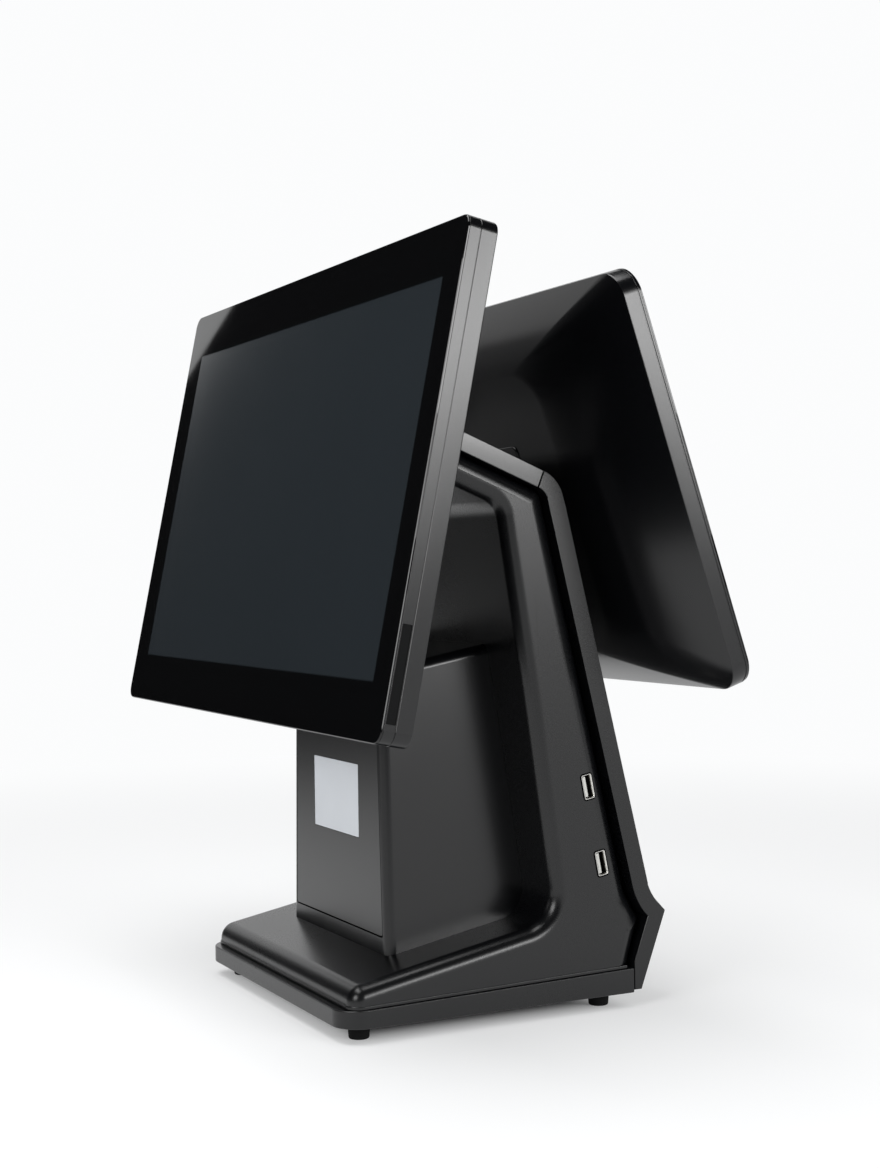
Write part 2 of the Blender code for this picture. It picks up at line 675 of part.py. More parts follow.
def computer(parent):
    """Main board across the box, with its heat sink, memory and storage."""
    front = BOX_FRONT + MAINBOARD_SETBACK
    low = base_top_z(BOX_FRONT) + MAINBOARD_RISE
    high = low + MAINBOARD_HEIGHT
    corners = [(-1, low), (1, low), (1, high), (-1, high)]
    outline = [(s * (box_half(z) - BOX_WALL - GAP), z) for s, z in corners]
    add("mainboard", prism(outline, "Y", front, front + BOARD_THICKNESS), parent, BOARD_GREEN)
    face = front - GAP
    left = -SINK_SIDE
    pitch = (SINK_SIDE - SINK_FIN_THICKNESS) / (SINK_FINS - 1)
    comb = [(left, face)]
    for k in range(SINK_FINS):
        x = left + k * pitch
        comb.append((x, face - (SINK_BASE if k else SINK_HEIGHT)))
        if k:
            comb.append((x, face - SINK_HEIGHT))
        comb.append((x + SINK_FIN_THICKNESS, face - SINK_HEIGHT))
        if k < SINK_FINS - 1:
            comb.append((x + SINK_FIN_THICKNESS, face - SINK_BASE))
    comb.append((left + SINK_SIDE, face))
    top = high - MAINBOARD_RISE
    add("heat_sink", prism(comb, "Z", top - SINK_SIDE, top), parent, ALUMINIUM)
    width, depth, height = STORAGE_SIZE
    stick = block((width / 2, face - depth, top - height), (width * 3 / 2, face, top))
    add("storage_module", stick, parent, BOARD_GREEN)
    width, depth, height = MEMORY_SIZE
    z = low + MAINBOARD_RISE / 2
    memory = block((-width / 2, face - depth, z), (width / 2, face, z + height))
    add("memory_module", memory, parent, BOARD_GREEN)


def usb_sockets(shell, parent):
    """Two tilted sockets in the right cheek of the stand, on one board behind them."""
    upper, lower = Vector(USB_UPPER), Vector(USB_LOWER)
    run = upper - lower
    tilt = math.atan2(-run.x, run.y)
    face = HALF_SHELL + USB_PROUD
    back = face - USB_DEPTH
    a, b = USB_SIZE[0] / 2, USB_SIZE[1] / 2
    c, d = USB_TONGUE[0] / 2, USB_TONGUE[1] / 2
    wall, ease = USB_SHELL_WALL, HOLE_CLEARANCE
    for name, (y, z) in (("upper", upper), ("lower", lower)):
        socket = add(f"usb_shell_{name}", block((back, -a, -b), (face, a, b)), parent, BRIGHT_STEEL)
        inside = block((back + wall, wall - a, wall - b), (face + wall, a - wall, b - wall))
        inside = cutter(f"usb_{name}", inside, parent)
        hole = block((back - wall, -a - ease, -b - ease), (face + wall, a + ease, b + ease))
        hole = cutter(f"usb_hole_{name}", hole, parent)
        shift = USB_TONGUE_OFFSET
        tongue = block((back + wall + GAP, shift - c, -d), (face - 2 * wall, shift + c, d))
        tongue = add(f"usb_tongue_{name}", tongue, parent, WHITE_PLASTIC)
        for piece in (socket, inside, hole, tongue):
            piece.location = (0, y, z)
            piece.rotation_euler = (tilt, 0, 0)
        combine(socket, inside)
        combine(shell, hole)
    height = run.length + 2 * USB_SIZE[1]
    board = block((back - GAP - BOARD_THICKNESS, -b, -height / 2), (back - GAP, b, height / 2))
    board = add("usb_board", board, parent, BOARD_GREEN)
    board.location = (0, *((upper + lower) / 2))
    board.rotation_euler = (tilt, 0, 0)


def power_button(parent):
    """Sprung button in the left cheek, and the switch behind it on its own small board."""
    y, z = BUTTON_PLACE
    front = -HALF_SHELL - BUTTON_PROUD
    button = add("power_button", rod(BUTTON_RADIUS, "X", front, front + BUTTON_LENGTH, (y, z)), parent)
    button.data.materials[0].node_tree.nodes["Principled BSDF"].inputs["Roughness"].default_value = 0.3
    a, b = SWITCH_SIZE[1] / 2, SWITCH_SIZE[2] / 2
    rear = POWER_BOARD_X - GAP
    switch = block((rear - SWITCH_SIZE[0], y - a, z - b), (rear, y + a, z + b))
    add("power_switch", switch, parent)
    half = POWER_BOARD_SIDE / 2
    low = (POWER_BOARD_X, y - half, z - half)
    board = block(low, (POWER_BOARD_X + BOARD_THICKNESS, y + half, z + half))
    add("power_board", board, parent, BOARD_GREEN)


def rear_sockets(parent):
    """Row of sockets behind the heel's openings, on one board that lies on the tray's rear wall."""
    half, depth = IO_BOARD_SIZE[0] / 2, IO_BOARD_SIZE[1]
    rear = TRAY_DEPTH - GAP
    low = (-half, rear - depth, IO_BOARD_Z)
    add("io_board", block(low, (half, rear, IO_BOARD_Z + BOARD_THICKNESS)), parent, BOARD_GREEN)
    face = HEEL_BOTTOM_Y + (SOCKET_Z - HEEL_BOTTOM_Z) * math.tan(HEEL_SLOPE) - REAR_SOCKET_RECESS
    back = face - REAR_SOCKET_DEPTH
    floor = back + REAR_SOCKET_DEPTH / 3
    for name, (width, height), x in REAR_SOCKETS:
        a = width / 2
        body = block((x - a, back, SOCKET_Z), (x + a, face, SOCKET_Z + height))
        finish = BRIGHT_STEEL if name == "lan_socket" else BLACK_PLASTIC
        socket = add(name, body, parent, finish)
        middle = (x, SOCKET_Z + height / 2)
        if name == "power_inlet":
            pin = rod(a / 5, "Y", back + SOCKET_WALL, face - SOCKET_WALL, middle, 12)
            combine(socket, cutter("inlet_hole", rod(a * 0.6, "Y", floor, face + GAP, middle), parent))
            combine(socket, cutter("inlet_pin", pin, parent), "UNION")
            continue
        b = height / 2 - SOCKET_WALL
        low = (x - a + SOCKET_WALL, floor, middle[1] - b)
        inside = block(low, (x + a - SOCKET_WALL, face + GAP, middle[1] + b))
        combine(socket, cutter(name + "_inside", inside, parent))


def spine_frame(parent):
    """Bent steel strip from the hinge bracket through the column down to the ballast plate."""
    knee_y = TOP_CORNER_Y + (TOP_CORNER_Z - SPINE_KNEE_Z) * math.tan(BACK_SLOPE)
    straight = [ARM_END_TOP, TOP_CORNER, Vector((knee_y, SPINE_KNEE_Z))]
    start, corner, knee = parallel(straight, -MAIN_HINGE_DROP)
    start -= ARM_DIRECTION * (SHELL_WALL + PANEL_GAP)
    lean = math.atan2(knee.x - SPINE_FOOT_Y, knee.y - BALLAST_Z)
    foot_z = BALLAST_Z + BALLAST_THICKNESS + GAP + math.sin(lean) * SPINE_THICKNESS / 2
    bend = SPINE_BEND_RADIUS
    path = rounded(
        [(*start, 0), (*corner, bend), (*knee, bend), (SPINE_FOOT_Y, foot_z, 0)], closed=False
    )
    half = SPINE_THICKNESS / 2
    outline = parallel(path, half) + parallel(path, -half)[::-1]
    add("spine_frame", prism(outline, "X", -HALF_SPINE, HALF_SPINE), parent, DARK_STEEL)


def lug_outline(eye, root, radius):
    """Outline of a hinge lug: square at its root, round about its eye."""
    along = (eye - root).normalized()
    side = Vector((-along.y, along.x)) * radius
    arc = [eye + Matrix.Rotation(math.pi * k / 8, 2) @ side for k in range(9)]
    turned = (arc[4] - eye).dot(along)
    if turned < 0:
        arc = [eye + Matrix.Rotation(-math.pi * k / 8, 2) @ side for k in range(9)]
    return [root + side] + arc + [root - side]


def hinge_half(name, plate, eye, root, size, parent):
    """One half of a hinge: a plate joined to two lugs with an eye for the pin in each."""
    radius, pin_radius, start, thickness = size
    made = add(name, plate, parent, DARK_STEEL)
    outline = lug_outline(eye, root, radius)
    for hand, low in (("left", -start - thickness), ("right", start)):
        lug = prism(outline, "X", low, low + thickness)
        combine(made, cutter(f"{name}_{hand}", lug, parent), "UNION")
    end = start + 2 * thickness
    hole = rod(pin_radius + PIN_CLEARANCE, "X", -end, end, eye, 16)
    combine(made, cutter(name + "_eye", hole, parent))


def hinge_pin(name, eye, size, parent):
    """Pin through a hinge's four lugs, and a friction washer between each pair of them."""
    radius, pin_radius, start, thickness = size
    inner = start + thickness + GAP
    end = inner + WASHER_THICKNESS + GAP + thickness + PIN_END
    add(name + "_pin", rod(pin_radius, "X", -end, end, eye, 16), parent, BRIGHT_STEEL)
    hole = rod(pin_radius + PIN_CLEARANCE, "X", -end, end, eye, 16)
    hole = cutter(name + "_washers", hole, parent)
    for hand, low in (("left", -inner - WASHER_THICKNESS), ("right", inner)):
        washer = rod(radius - PANEL_GAP, "X", low, low + WASHER_THICKNESS, eye, 16)
        combine(add(f"{name}_washer_{hand}", washer, parent, BRIGHT_STEEL), hole)


def outer_lugs(size):
    """The same lugs moved outward past the first pair and its washers."""
    radius, pin_radius, start, thickness = size
    return radius, pin_radius, start + thickness + 2 * GAP + WASHER_THICKNESS, thickness


def main_hinge(shell, top, parent):
    """Bracket under the spine with two lugs through the arm's end, on the main display's axis."""
    deep = MAIN_HINGE_DROP + SPINE_THICKNESS / 2 + GAP
    first, last = -SHELL_WALL - PANEL_GAP, -SHELL_WALL - MAIN_BRACKET_LENGTH
    thick = MAIN_MOUNT_THICKNESS
    places = [(first, deep), (last, deep), (last, deep + thick), (first, deep + thick)]
    end = MAIN_LUG_X + MAIN_LUG_THICKNESS
    plate = prism([arm_point(*place) for place in places], "X", -end + GAP, end - GAP)
    root = arm_point(last + SHELL_WALL, MAIN_HINGE_DROP)
    hinge_half("main_hinge_bracket", plate, MAIN_AXIS, root, MAIN_LUGS, parent)
    hinge_pin("main_hinge", MAIN_AXIS, MAIN_LUGS, parent)
    reach = MAIN_LUG_RADIUS + PANEL_GAP
    out, back = SHELL_WALL, -2 * SHELL_WALL
    places = [(out, -reach), (back, -reach), (back, reach), (out, reach)]
    outline = [arm_point(along, MAIN_HINGE_DROP + across) for along, across in places]
    for hand, low in (("left", -end), ("right", MAIN_LUG_X)):
        slot = prism(outline, "X", low - PANEL_GAP, low + MAIN_LUG_THICKNESS + PANEL_GAP)
        slot = cutter("arm_slot_" + hand, slot, parent)
        combine(shell, slot)
        combine(top, slot)


def customer_hinge(parent):
    """Bracket on the back cover with two lugs on the customer display's axis."""
    up = Vector((-BACK_NORMAL.y, BACK_NORMAL.x)) * CUSTOMER_BRACKET_HEIGHT / 2
    foot = CUSTOMER_AXIS - BACK_NORMAL * (CUSTOMER_HINGE_OUT - GAP)
    face = foot + BACK_NORMAL * CUSTOMER_MOUNT_THICKNESS
    end = CUSTOMER_LUG_X + CUSTOMER_LUG_THICKNESS
    plate = prism([foot - up, face - up, face + up, foot + up], "X", -end - PIN_END, end + PIN_END)
    root = foot.lerp(face, 0.5)
    hinge_half("customer_hinge_bracket", plate, CUSTOMER_AXIS, root, CUSTOMER_LUGS, parent)
    hinge_pin("customer_hinge", CUSTOMER_AXIS, CUSTOMER_LUGS, parent)


def loft(rings):
    """Closed solid through rings of points that all have the same count."""
    bm = bmesh.new()
    loops = [[bm.verts.new(point) for point in ring] for ring in rings]
    for first, second in zip(loops, loops[1:]):
        for i in range(len(first)):
            bm.faces.new((first[i - 1], first[i], second[i], second[i - 1]))
    bm.faces.new(loops[0])
    bm.faces.new(loops[-1])
    bmesh.ops.recalc_face_normals(bm, faces=bm.faces)
    return bm


class Display:
    """Sizes of one display and the pieces built from them, in a frame on its hinge axis."""

    def __init__(self, name, parent, active, border, depths, corner, margins, hinge):
        self.name = name
        self.parent = parent
        self.active = active
        self.width = active[0] + 2 * border[0]
        self.height = active[1] + 2 * border[1]
        self.glass, self.band, self.seam, self.rim, self.depth = depths
        self.corner = corner
        self.margins = margins
        self.rise, self.standoff = hinge
        self.middle = self.height / 2 - self.rise

    def at(self, depth):
        """Local Y of a depth behind the front of the glass."""
        return depth - self.depth - self.standoff

    def outline(self, inset):
        """Front outline drawn in by an inset on every side."""
        size = self.width - 2 * inset, self.height - 2 * inset
        return rounded_box(*size, self.corner, (0, self.middle))

    def plate(self, name, outline, low, high, finish=BLACK_PLASTIC):
        """Flat piece between two depths."""
        solid = prism(outline, "Y", self.at(low), self.at(high))
        return add(f"{self.name}_{name}", solid, self.parent, finish)

    def front(self):
        """Glass, bezel, panel and driver board."""
        behind = self.glass + GAP
        self.plate("glass", self.outline(PANEL_GAP), 0, self.glass, BLACK_GLASS)
        bezel = self.plate("bezel", self.outline(0), behind, self.band)
        size = [side + 2 * PANEL_FRAME for side in self.active]
        place = (0, self.middle)
        window = rounded_box(size[0] + 2 * PANEL_GAP, size[1] + 2 * PANEL_GAP, PANEL_GAP, place)
        window = prism(window, "Y", self.at(0), self.at(self.rim))
        combine(bezel, cutter(self.name + "_window", window, self.parent))
        panel = rounded_box(*size, PANEL_GAP, place)
        back = behind + PANEL_THICKNESS
        self.plate("panel", panel, behind, back, PANEL_GREY)
        board = rounded_box(*DRIVER_BOARD_SIZE, PANEL_GAP, place)
        self.plate("driver_board", board, back + GAP, back + GAP + BOARD_THICKNESS, BOARD_GREEN)

    def back_outline(self, share, inset):
        """Outline of the back a share of the way from its rim in to its flat middle."""
        side, below, above = (margin * share + inset for margin in self.margins)
        corner = self.corner + (BACK_CORNER_RADIUS - self.corner) * share
        size = self.width - 2 * side, self.height - below - above
        return rounded_box(*size, corner, (0, self.middle + (below - above) / 2))

    def pillow(self, wall):
        """Solid of the rear housing, or of its hollow when given a wall."""
        lip = DISPLAY_SEAM_INSET + wall
        side = max(wall * 1.4, lip if wall else 0)
        stations = [(self.band - GAP, 0, lip)]
        if wall == 0:
            seam_end = self.band + self.seam
            stations = [(self.band + GAP, 0, lip), (seam_end, 0, lip), (seam_end, 0, 0)]
        for k in range(ARC_STEPS + 1):
            share = k / ARC_STEPS
            swell = (self.depth - self.rim) * (1 - (1 - share) ** BACK_SWELL)
            stations.append((self.rim + swell - wall, share, side))
        rings = []
        for depth, share, inset in stations:
            ring = self.back_outline(share, inset)
            rings.append([(x, self.at(depth), z) for x, z in ring])
        return loft(rings)

    def housing(self):
        """Rear housing: a lip behind the bezel, a straight rim, then a pillow to a flat back."""
        made = add(self.name + "_rear_housing", self.pillow(0), self.parent)
        hollow = cutter(self.name + "_hollow", self.pillow(DISPLAY_WALL), self.parent)
        combine(made, hollow)

    def mount(self, size, thickness, lift, lugs):
        """Steel plate on the back with the display's own hinge lugs."""
        low = self.at(self.depth + lift + GAP)
        plate = prism(rounded_box(*size, PANEL_GAP), "Y", low, low + thickness)
        root = Vector((low + thickness / 2, 0))
        hinge_half(self.name + "_mount_plate", plate, Vector((0, 0)), root, outer_lugs(lugs), self.parent)


def main_display(parent):
    """Large touch display at the front."""
    depths = MAIN_GLASS, MAIN_BAND, MAIN_SEAM, MAIN_RIM, MAIN_DEPTH
    hinge = MAIN_HINGE_RISE, MAIN_HINGE_STANDOFF
    corner, margins = MAIN_CORNER_RADIUS, MAIN_BACK_MARGINS
    made = Display("main", parent, MAIN_ACTIVE, MAIN_BORDER, depths, corner, margins, hinge)
    made.front()
    made.housing()
    made.mount(MAIN_MOUNT_SIZE, MAIN_MOUNT_THICKNESS, 0, MAIN_LUGS)
    return made


def customer_display(parent):
    """Smaller display that faces the customer, with a raised cover on its back."""
    depths = CUSTOMER_GLASS, CUSTOMER_BAND, CUSTOMER_SEAM, CUSTOMER_RIM, CUSTOMER_DEPTH
    hinge = CUSTOMER_HINGE_RISE, CUSTOMER_HINGE_STANDOFF
    corner, margins = CUSTOMER_CORNER_RADIUS, CUSTOMER_BACK_MARGINS
    sides = CUSTOMER_ACTIVE, CUSTOMER_BORDER
    made = Display("customer", parent, *sides, depths, corner, margins, hinge)
    made.front()
    made.housing()
    centre = (0, REAR_COVER_BOTTOM + REAR_COVER_SIZE[1] / 2 - CUSTOMER_HINGE_RISE)
    outline = rounded_box(*REAR_COVER_SIZE, PANEL_FRAME, centre)
    made.plate("rear_cover", outline, CUSTOMER_DEPTH + GAP, CUSTOMER_DEPTH + REAR_COVER_PROUD)
    made.mount(CUSTOMER_MOUNT_SIZE, CUSTOMER_MOUNT_THICKNESS, REAR_COVER_PROUD, CUSTOMER_LUGS)
    return made


def main():
    """Builds every piece."""
    for obj in list(bpy.data.objects):
        bpy.data.objects.remove(obj, do_unlink=True)
    front = MAIN_AXIS.x - MAIN_HINGE_RISE * math.sin(MAIN_TILT)
    front -= (MAIN_DEPTH + MAIN_HINGE_STANDOFF) * math.cos(MAIN_TILT)
    rear = CUSTOMER_AXIS.x + CUSTOMER_HINGE_RISE * math.sin(CUSTOMER_TILT)
    rear += (CUSTOMER_DEPTH + CUSTOMER_HINGE_STANDOFF) * math.cos(CUSTOMER_TILT)
    stand = empty("stand", (0, -(front + rear) / 2, 0))
    main_axis = empty("main_axis", (0, *MAIN_AXIS), stand, (-MAIN_TILT, 0, 0))
    customer_axis = empty("customer_axis", (0, *CUSTOMER_AXIS), stand, (-CUSTOMER_TILT, 0, math.pi))
    shell = stand_shell(stand)
    base_tray(stand)
    feet(stand)
    ballast_plate(stand)
    spine_frame(stand)
    top = top_cover(stand)
    back_cover(stand)
    computer_box(stand)
    service_door(stand)
    computer(stand)
    usb_sockets(shell, stand)
    power_button(stand)
    rear_sockets(stand)
    main_hinge(shell, top, stand)
    customer_hinge(stand)
    main_display(main_axis)
    customer_display(customer_axis)


main()
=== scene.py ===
"""Looks of a dual-screen point-of-sale terminal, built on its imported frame.

A boot-shaped stand carries a touch display in front and a customer display behind. Lengths are in
metres, +X is to the right of someone facing the touch display, +Y to the back and +Z up. The stand's
side lines are given as (y, z), with y measured from the front of the tray.
"""

import json
import math

import bmesh
import bpy
from mathutils import Matrix, Vector


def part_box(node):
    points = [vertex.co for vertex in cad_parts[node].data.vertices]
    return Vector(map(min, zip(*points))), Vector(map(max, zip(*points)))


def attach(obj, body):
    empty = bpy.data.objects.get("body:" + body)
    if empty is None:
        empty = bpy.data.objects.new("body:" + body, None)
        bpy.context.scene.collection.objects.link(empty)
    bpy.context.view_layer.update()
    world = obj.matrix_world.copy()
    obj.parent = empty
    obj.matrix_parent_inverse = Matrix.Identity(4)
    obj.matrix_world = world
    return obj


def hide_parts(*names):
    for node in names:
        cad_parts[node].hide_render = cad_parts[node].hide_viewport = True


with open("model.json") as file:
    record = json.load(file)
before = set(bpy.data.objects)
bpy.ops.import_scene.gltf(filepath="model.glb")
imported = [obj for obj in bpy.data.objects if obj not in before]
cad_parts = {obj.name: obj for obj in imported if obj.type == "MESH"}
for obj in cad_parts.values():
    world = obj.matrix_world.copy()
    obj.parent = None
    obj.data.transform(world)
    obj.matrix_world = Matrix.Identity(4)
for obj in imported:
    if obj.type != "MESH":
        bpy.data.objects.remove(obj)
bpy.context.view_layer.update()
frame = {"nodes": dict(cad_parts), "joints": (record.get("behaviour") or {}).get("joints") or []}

bl_info = {
    "name": "Dual-Screen Terminal",
    "version": (1, 0, 0),
    "blender": (4, 5, 0),
    "location": "View3D > Sidebar > Terminal",
    "description": "Builds the dressed pieces of a dual-screen terminal on its packed frame",
    "category": "Object",
}

GAP = 0.0003
PANEL_GAP = 0.0006
SHARP = math.radians(28)

# Stage: course of the view and turns in degrees, the rest in metres
VIEW_COURSE = 153.4
CLOTH_REACH = 4.0
MAT_WIDTH = 3.6
MAT_TURNS = (38, 90)
MAT_FADE = (0.4, 1.7)
TRAY_SHADE = (-0.032, 0.008)

# Stand, seen from the side
TRAY_LOW, TRAY_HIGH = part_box("base_tray")
TRAY_DEPTH = TRAY_HIGH.y - TRAY_LOW.y
STAND_FRONT = TRAY_LOW.y
FOOT_HEIGHT = TRAY_LOW.z
TRAY_FRONT_HEIGHT = 0.0093
TRAY_REAR_HEIGHT = TRAY_HIGH.z - TRAY_LOW.z
BASE_SETBACK = 0.0055
BASE_FRONT_TOP = 0.0285
BASE_SLOPE = math.radians(10.9)
COLUMN_FOOT_Y, COLUMN_FOOT_RADIUS = 0.1268, 0.018
COLUMN_BEND = Vector((0.1112, 0.170))
ARM_CORNER = Vector((0.0950, 0.2749))
TOP_CORNER = Vector((0.1301, 0.28905))
TOP_CORNER_RADIUS, FLARE_RADIUS = 0.0175, 0.022
TOP_SLOPE = math.radians(22.3)
BACK_SLOPE = math.radians(13.4)
FLARE_SLOPE = math.radians(43.5)
HEEL_SLOPE = math.radians(20.7)
ARM_LENGTH = 0.068
FLARE_Z, HEEL_Z, HEEL_FOOT_Z = 0.0618, 0.0515, 0.0097
COVER_DEPTH = 0.0097
COVER_SEAM_RUN = 0.0100
ARM_RUN = Vector((-math.cos(TOP_SLOPE), math.sin(TOP_SLOPE)))
ARM_UP = Vector((math.sin(TOP_SLOPE), math.cos(TOP_SLOPE)))
ARM_END = TOP_CORNER + ARM_RUN * ARM_LENGTH
FLARE = Vector((TOP_CORNER.x + (TOP_CORNER.y - FLARE_Z) * math.tan(BACK_SLOPE), FLARE_Z))
HEEL = Vector((FLARE.x + (FLARE_Z - HEEL_Z) * math.tan(FLARE_SLOPE), HEEL_Z))
HEEL_FOOT = Vector((HEEL.x - (HEEL_Z - HEEL_FOOT_Z) * math.tan(HEEL_SLOPE), HEEL_FOOT_Z))

# Computer box
BOX_FRONT = 0.0414
BOX_TOP_FRONT = 0.1877
BOX_TOP_SLOPE = math.radians(10.4)
BOX_DRAFT = math.radians(2.1)
DOOR_SIDE_MARGIN, DOOR_SILL, DOOR_HEAD = 0.006, 0.0095, 0.006

# Sockets in the right cheek and the button in the left one, as (y, z)
USB_PLACES = (("upper", Vector((0.1463, 0.1226))), ("lower", Vector((0.1542, 0.0806))))
BUTTON_PLACE = (0.1454, 0.1232)

JOINTS = {joint["name"]: joint for joint in frame["joints"]}


def length(name, description, default):
    """Length property in metres."""
    return bpy.props.FloatProperty(
        name=name, description=description, default=default, unit="LENGTH", precision=4
    )


def angle(name, description, degrees):
    """Angle property."""
    return bpy.props.FloatProperty(
        name=name, description=description, default=math.radians(degrees), subtype="ANGLE"
    )


def colour(name, description, default):
    """Colour property, linear."""
    return bpy.props.FloatVectorProperty(
        name=name, description=description, default=default, size=3, subtype="COLOR", min=0, max=1
    )


def share(name, description, default):
    """Number from nought to one."""
    return bpy.props.FloatProperty(
        name=name, description=description, default=default, min=0, max=1, subtype="FACTOR"
    )


class StandSizes(bpy.types.PropertyGroup):
    """Roundings and walls of the stand."""

    base_edge: length("Front Edge", "Rounding of the edges of base, column and arm", 0.0078)
    rear_edge: length("Rear Edge", "Rounding of the shell beside the arm's cover", 0.0082)
    column_rear: length("Column Rear", "Rounding of the shell beside the back cover", 0.0135)
    lip_height: length("Lip Height", "Height of the lip along the shell's lower edge", 0.0019)
    lip_out: length("Lip Width", "How far the lip stands out of the shell", 0.0006)
    tray_corner: length("Tray Corner", "Plan radius of the tray's front corners", 0.015)
    cover_edge: length("Cover Edge", "Rounding of the covers' outer edges", 0.0009)
    box_corner: length("Box Corner", "Rounding of the computer box's front edges", 0.0055)
    box_top_edge: length("Box Top Edge", "Rounding of the computer box's top edges", 0.0080)
    door_thickness: length("Door Thickness", "Thickness of the service door", 0.0024)


class MainDisplaySizes(bpy.types.PropertyGroup):
    """Sizes of the touch display."""

    width: length("Width", "Width over the bezel", 0.386)
    height: length("Height", "Height over the bezel", 0.2507)
    active_width: length("Active Width", "Width of the picture area", 0.3442)
    picture_shift: length("Picture Shift", "How far the picture area lies to one side", 0.0025)
    active_height: length("Active Height", "Height of the picture area", 0.1936)
    glass: length("Glass", "Depth of the touch glass that shows", 0.0009)
    band: length("Band", "Depth to the back of the bezel's band", 0.0068)
    seam: length("Seam", "Width of the groove behind the bezel", 0.0003)
    rim: length("Rim", "Depth to the end of the straight rim", 0.0158)
    depth: length("Depth", "Whole depth of the display", 0.0318)
    corner: length("Corner", "Corner radius of the outline", 0.007)
    back_side: length("Back Side", "Width of the back's slope at each side", 0.060)
    back_below: length("Back Below", "Height of the back's slope at its foot", 0.060)
    back_above: length("Back Above", "Height of the back's slope at its head", 0.060)
    back_swell: bpy.props.FloatProperty(
        name="Back Swell", description="How round the back's slope is, where 1 is straight", default=1.8
    )
    back_rise: length("Back Rise", "How far the back's middle stands out of its flat", 0.0)
    rise: length("Hinge Height", "Hinge axis above the lower edge", 0.1568)
    standoff: length("Hinge Distance", "Hinge axis behind the back", 0.0112)
    tilt: angle("Tilt", "How far the display leans back", 11.66)


class CustomerDisplaySizes(bpy.types.PropertyGroup):
    """Sizes of the customer display."""

    width: length("Width", "Width over the bezel", 0.330)
    height: length("Height", "Height over the bezel", 0.2265)
    active_width: length("Active Width", "Width of the picture area", 0.2938)
    picture_shift: length("Picture Shift", "How far the picture area lies to one side", 0.0)
    active_height: length("Active Height", "Height of the picture area", 0.1652)
    glass: length("Glass", "Thickness of the front glass", 0.0011)
    band: length("Band", "Depth to the back of the bezel's band", 0.0024)
    seam: length("Seam", "Width of the groove behind the bezel", 0.0006)
    rim: length("Rim", "Depth to the end of the straight rim", 0.0115)
    depth: length("Depth", "Whole depth of the display", 0.0285)
    corner: length("Corner", "Corner radius of the outline", 0.014)
    back_side: length("Back Side", "Width of the back's slope at each side", 0.080)
    back_below: length("Back Below", "Height of the back's slope at its foot", 0.026)
    back_above: length("Back Above", "Height of the back's slope at its head", 0.040)
    back_swell: bpy.props.FloatProperty(
        name="Back Swell", description="How round the back's slope is, where 1 is straight", default=1.4
    )
    back_rise: length("Back Rise", "How far the back's middle stands out of its flat", 0.0020)
    rise: length("Hinge Height", "Hinge axis above the lower edge", 0.1014)
    standoff: length("Hinge Distance", "Hinge axis behind the back", 0.0095)
    tilt: angle("Tilt", "How far the display leans back", 18.43)


class FinishColours(bpy.types.PropertyGroup):
    """Colours and roughness of the finishes."""

    plastic: colour("Plastic", "Black moulded plastic", (0.0024, 0.0026, 0.0032))
    plastic_roughness: share("Plastic Roughness", "Satin of the black plastic", 0.22)
    glass_border: colour("Glass Border", "Printed border under the glass", (0.0022, 0.0023, 0.0026))
    picture: colour("Picture Area", "Dark panel behind the glass", (0.0165, 0.0205, 0.0240))
    label: colour("Label", "Blank label film", (0.70, 0.73, 0.77))
    tongue: colour("Tongue", "Pale plastic of the side sockets' tongues", (0.62, 0.62, 0.59))
    bright_metal: colour("Bright Metal", "Plated socket shells and pins", (0.78, 0.77, 0.74))
    dark_metal: colour("Dark Metal", "Blackened steel of the hinges", (0.10, 0.10, 0.105))
    rubber: colour("Rubber", "Feet", (0.0035, 0.0036, 0.0038))
    board: colour("Board", "Circuit boards", (0.008, 0.055, 0.026))


class StageSettings(bpy.types.PropertyGroup):
    """Floor, lamps and camera."""

    floor: colour("Floor", "Pale floor", (0.86, 0.865, 0.87))
    fill: share("Fill", "Even light from all round", 0.30)
    floor_white: share("Floor White", "Share of the floor that shows white of itself", 0.48)
    side_lamp: bpy.props.FloatProperty(
        name="Side Lamp", description="Power of the soft lamp at the right", default=8.1, unit="POWER"
    )
    strip_lamp: bpy.props.FloatProperty(
        name="Strip Lamp", description="Power of the strip in the side lamp", default=8.2, unit="POWER"
    )
    top_lamp: bpy.props.FloatProperty(
        name="Top Lamp", description="Power of the soft lamp overhead", default=26, unit="POWER"
    )
    front_lamp: bpy.props.FloatProperty(
        name="Front Lamp", description="Power of the soft lamp in front", default=13, unit="POWER"
    )
    over_lamp: bpy.props.FloatProperty(
        name="Over Lamp", description="Power of the lamp over the main display", default=0.16, unit="POWER"
    )
    lens: bpy.props.FloatProperty(
        name="Lens", description="Focal length of the camera", default=55.65, unit="CAMERA"
    )
    camera_place: bpy.props.FloatVectorProperty(
        name="Camera", description="Place of the camera", default=(0.9366, -0.4554, 0.2420),
        size=3, subtype="TRANSLATION",
    )
    camera_azimuth: angle("Camera Turn", "How far the camera stands round to the right", 63.405)
    camera_pitch: angle("Camera Pitch", "How far the camera looks down", 0.5187)
    camera_roll: angle("Camera Roll", "How far the camera leans", -0.7923)


